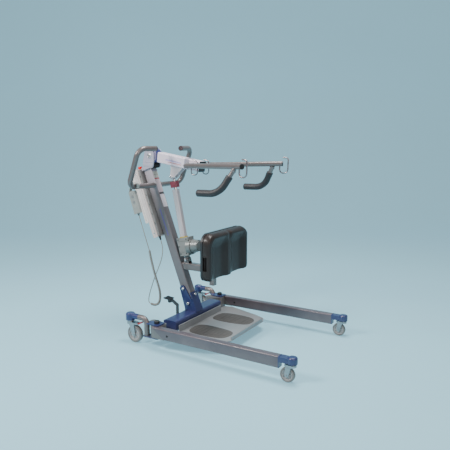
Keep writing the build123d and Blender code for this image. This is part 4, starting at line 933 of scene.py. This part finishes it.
motor_at = P(322, 0, 513)
ring("motor_band", 44.0, 38.0, 28.0, 32.5, motor_at, motor_dir, "seam", "actuator")
lathe("motor_end_cap", [(0, 74), (30, 74), (31.5, 74.4), (32, 76.5), (30, 78.6), (24, 79.4), (0, 79.6)],
      motor_at, motor_dir, "motor_grey", "actuator")

# ---------------------------------------------------------------- control box and battery
for side_name, sign in SIDES:
    u = facing(sign, MAST_FRONT)
    for index, down in enumerate((98, 476)):
        socket_head(f"box_screw_{index}_{side_name}", on_mast(-66, down, sign * 64.9), Y * sign, 5.0)
    # The rail's slots are thin black slabs: painted shade in the openings.
    for index, down in enumerate(range(120, 480, 60)):
        slab(f"rail_slot_{index}_{side_name}", round_rect(5, 12, 2, 4), on_mast(-43.5, down, sign * 57.9), u,
             MAST_UP, 0.5, "black_ink", "frame", bevel=0.15)
    slab(f"box_seam_{side_name}", round_rect(1.4, 405, 0.6, 3), on_mast(-60, 289.5, sign * 64.9), u,
         MAST_UP, 0.35, "seam", "frame", bevel=0.1)
    slab(f"battery_seam_{side_name}", round_rect(1.4, 230, 0.6, 3), on_mast(-100, 282, sign * 59.9), u,
         MAST_UP, 0.35, "seam", "battery", bevel=0.1)


def back_panel(name, outline, forward, down, thick, mat, body, bevel):
    """A raised panel on the rear face of the battery or the control box."""
    slab(name, outline, on_mast(forward, down, 0), -Y, MAST_UP, thick, mat, body, bevel=bevel)


back_panel("battery_latch", round_rect(44, 20, 5, 6), -124, 129, 2.4, "black", "battery", 1.0)
back_panel("battery_panel", round_rect(86, 150, 8, 6), -112, 285, 1.4, "battery_beige", "battery", 0.8)
for index in range(4):
    back_panel(f"battery_rib_{index}", round_rect(70, 4, 1.9, 5), -112, 372 + index * 8, 1.6, "battery_beige",
               "battery", 0.7)
back_panel("box_foot_panel", round_rect(104, 78, 7, 6), -88, 453, 1.2, "box_beige", "frame", 0.7)
for index in range(3):
    lathe(f"box_lamp_{index}", [(0, 0), (2.6, 0), (2.6, 0.8), (1.6, 1.6), (0, 1.9)],
          on_mast(-89, 440, 16 - 16 * index), -MAST_FRONT, "yellow" if index == 1 else "label", "frame",
          steps=24)
stop_seat = on_mast(-62, 72, -12)
ring("stop_collar", 16.6, 13.8, 0.0, 2.0, stop_seat, MAST_UP, "yellow", "frame")
lathe("stop_cap", [(0, 15.9), (8, 16.0), (11.6, 17.2), (12.9, 18.6), (12.4, 20.0), (9, 20.8), (0, 21.0)][::-1],
      stop_seat - MAST_UP * 0.001, MAST_UP, "stop_red", "stop_button")
for index in range(5):
    spot = on_mast(-46, 504 + index * 4.2, -50)
    ring(f"gland_rib_{index}", 7.9 - index * 0.62, 3.2, 0, 2.4, spot, -MAST_UP, "gland_black", "frame",
         round_by=0.7, steps=40)

# ---------------------------------------------------------------- handset
HANG = Vector((hang.x, 0, hang.z))
HAND_SIDE = Vector((-hang.z, 0, hang.x))
hand_mid = P(*(handset_foot - hang * 66))
slab("handset_back_panel", round_rect(32, 104, 6, 6), hand_mid + Y * 0.013, -HAND_SIDE, -HANG, 0.5,
     "battery_beige", "frame", bevel=0.2)
for index, shift in enumerate((-43, 40)):
    spot = P(*(handset_foot - hang * (85 + shift))) - Y * 0.013
    slab(f"handset_plate_{index}", round_rect(32, 18, 4, 5), spot, HAND_SIDE, -HANG, 0.5, "handset_grey",
         "frame", bevel=0.2)
ring("handset_neck", 8.6, 3.0, 0.0, 4.0, P(*handset_foot), HANG, "handset_grey", "frame", round_by=1.0,
     steps=40)
for index in range(3):
    ring(f"handset_relief_{index}", 6.0 - index * 0.7, 2.6, 4.4 + 3.2 * index, 6.4 + 3.2 * index,
         P(*handset_foot), HANG, "gland_black", "frame", round_by=0.6, steps=40)

# ---------------------------------------------------------------- knee arm, knob, pad shell
for side_name, sign in SIDES:
    slab(f"arm_cap_{side_name}", round_rect(26, 26, 4, 5), P(490, sign * 20.0, 422), facing(sign, X), Z, 0.6,
         "black", "frame", bevel=0.3)
for index, (y, z) in enumerate(((-45, 541), (45, 541))):
    socket_head(f"pad_bolt_{index}", P(505, y, z), -X, 7.5, body="knee_rest")
lathe("knob_button", [(0, 26.8), (11.5, 26.8), (11.5, 28.2), (9.5, 29.4), (0, 29.8)],
      P(490, 20.3, 392) - Y * 0.0002, Y, "rail_grey", "knee_knob", steps=48)
for side_name, sign in SIDES:
    slab(f"strap_keeper_{side_name}", round_rect(3.6, 77.6, 1.6, 5), P(576, sign * 208, 474),
         facing(sign, X), Z, 7.0, "pad_charcoal", "knee_rest", bevel=1.0)

# ---------------------------------------------------------------- footplate mats and pedal treads
PLATE_TOP = 64.3
for side_name, sign in SIDES:
    outline = [(-128, -30), (-120, -58), (-90, -74), (-30, -78), (60, -70), (112, -54), (128, -20), (124, 30),
               (100, 62), (50, 76), (-40, 80), (-100, 70), (-126, 40)]
    outline = [(a, b * sign) for a, b in outline]
    smooth = []
    for (ax, ay), (bx, by) in zip(outline, outline[1:] + outline[:1]):
        smooth += [(ax * (1 - t) + bx * t, ay * (1 - t) + by * t) for t in (0.25, 0.75)]
    if sign < 0:
        smooth = smooth[::-1]
    slab(f"foot_mat_{side_name}", smooth, P(560, sign * 128, PLATE_TOP), X, Y, 2.2, "mat", "footplate",
         bevel=1.0)
    for index in range(9):
        x = 560 - 96 + index * 24
        half = 60 - 0.0034 * (x - 560) ** 2
        slab(f"mat_rib_{side_name}_{index}", round_rect(6, 2 * half, 2.8, 4),
             P(x, sign * 128, PLATE_TOP + 2.1), X, Y, 1.3, "mat", "footplate", bevel=0.6)
    for index in range(6):
        x = 215 + index * 6.4
        z = 206.7 - (x - 210) * 0.1
        slab(f"tread_rib_{side_name}_{index}", round_rect(3.2, 40, 1.5, 4), P(x, sign * 90, z), X, Y, 1.5,
             "black", "pedals", bevel=0.6)
    for name, y, out in (("leg_bolt", 340.9, -Y), ("leg_bolt_out", 381.1, Y)):
        socket_head(f"{name}_{side_name}", P(437, sign * y, 92), out * sign, 6.0, "black", f"leg_{side_name}")
    for index in range(3):
        ring(f"knob_rib_{side_name}_{index}", 15.6, 13.0, 0.0, 2.2, P(330, sign * 330, 134.5 + 4.0 * index), Z,
             "black", "frame", round_by=0.7)
    for index in range(4):
        spot = P(222 + index * 4.4, sign * 345, 121.9 + index * 2.2)
        slab(f"brake_rib_{side_name}_{index}", round_rect(2.0, 18, 0.9, 3), spot, Vector((0.894, 0, 0.447)), Y,
             1.1, "brake_red", f"brake_{side_name}", bevel=0.4)

# ---------------------------------------------------------------- floor and light
floor = bpy.data.meshes.new("studio_floor")
bm = bmesh.new()
rows = []
for i in range(41):
    t = i / 40
    if t < 0.5:
        y, z = -7 + t * 2 * 10.5, 0.0
    else:
        turn = (t - 0.5) * 2 * math.pi / 2
        y, z = 3.5 + 2.5 * math.sin(turn), 2.5 - 2.5 * math.cos(turn)
        if t > 0.97:
            z += 3.0
    rows.append((y, z))
grid = [[bm.verts.new((x, y, z)) for x in (-9, -3, 3, 9)] for y, z in rows]
for a, b in zip(grid, grid[1:]):
    for i in range(3):
        bm.faces.new((a[i], a[i + 1], b[i + 1], b[i]))
bm.to_mesh(floor)
bm.free()
floor_obj = bpy.data.objects.new("studio_floor", floor)
bpy.context.collection.objects.link(floor_obj)
floor_obj.rotation_euler = (0, 0, math.radians(VIEW_TURN))
floor.shade_smooth()
backdrop = surface("pale_floor", (0.24, 0.47, 0.56), 0.7, vary=0.02, blotch=0.6, grain=30, bump=0.02)
set_socket(backdrop, "Emission Color", (0.46, 0.82, 0.98, 1))
set_socket(backdrop, "Emission Strength", 0.40)
floor.materials.append(backdrop)


def lamp(name, place, target, size, power, color):
    data = bpy.data.lights.new(name, "AREA")
    data.shape, data.size, data.energy, data.color = "DISK", size, power, color
    obj = bpy.data.objects.new(name, data)
    obj.location = place
    obj.rotation_euler = (Vector(target) - Vector(place)).to_track_quat("-Z", "Y").to_euler()
    bpy.context.collection.objects.link(obj)


lamp("key", (-1.5, -2.6, 2.8), (0.0, 0.0, 0.7), 1.1, 135, (1.0, 0.97, 0.94))
lamp("fill", (2.8, -2.2, 1.6), (0.1, 0.0, 0.5), 1.6, 34, (1.0, 0.92, 0.86))
lamp("top", (0.3, 0.3, 3.2), (0.0, 0.0, 0.5), 1.3, 95, (1.0, 1.0, 1.0))
world = bpy.data.worlds.new("studio_air")
world.use_nodes = True
world.node_tree.nodes["Background"].inputs["Color"].default_value = (0.88, 0.90, 0.92, 1)
world.node_tree.nodes["Background"].inputs["Strength"].default_value = 0.36
bpy.context.scene.world = world
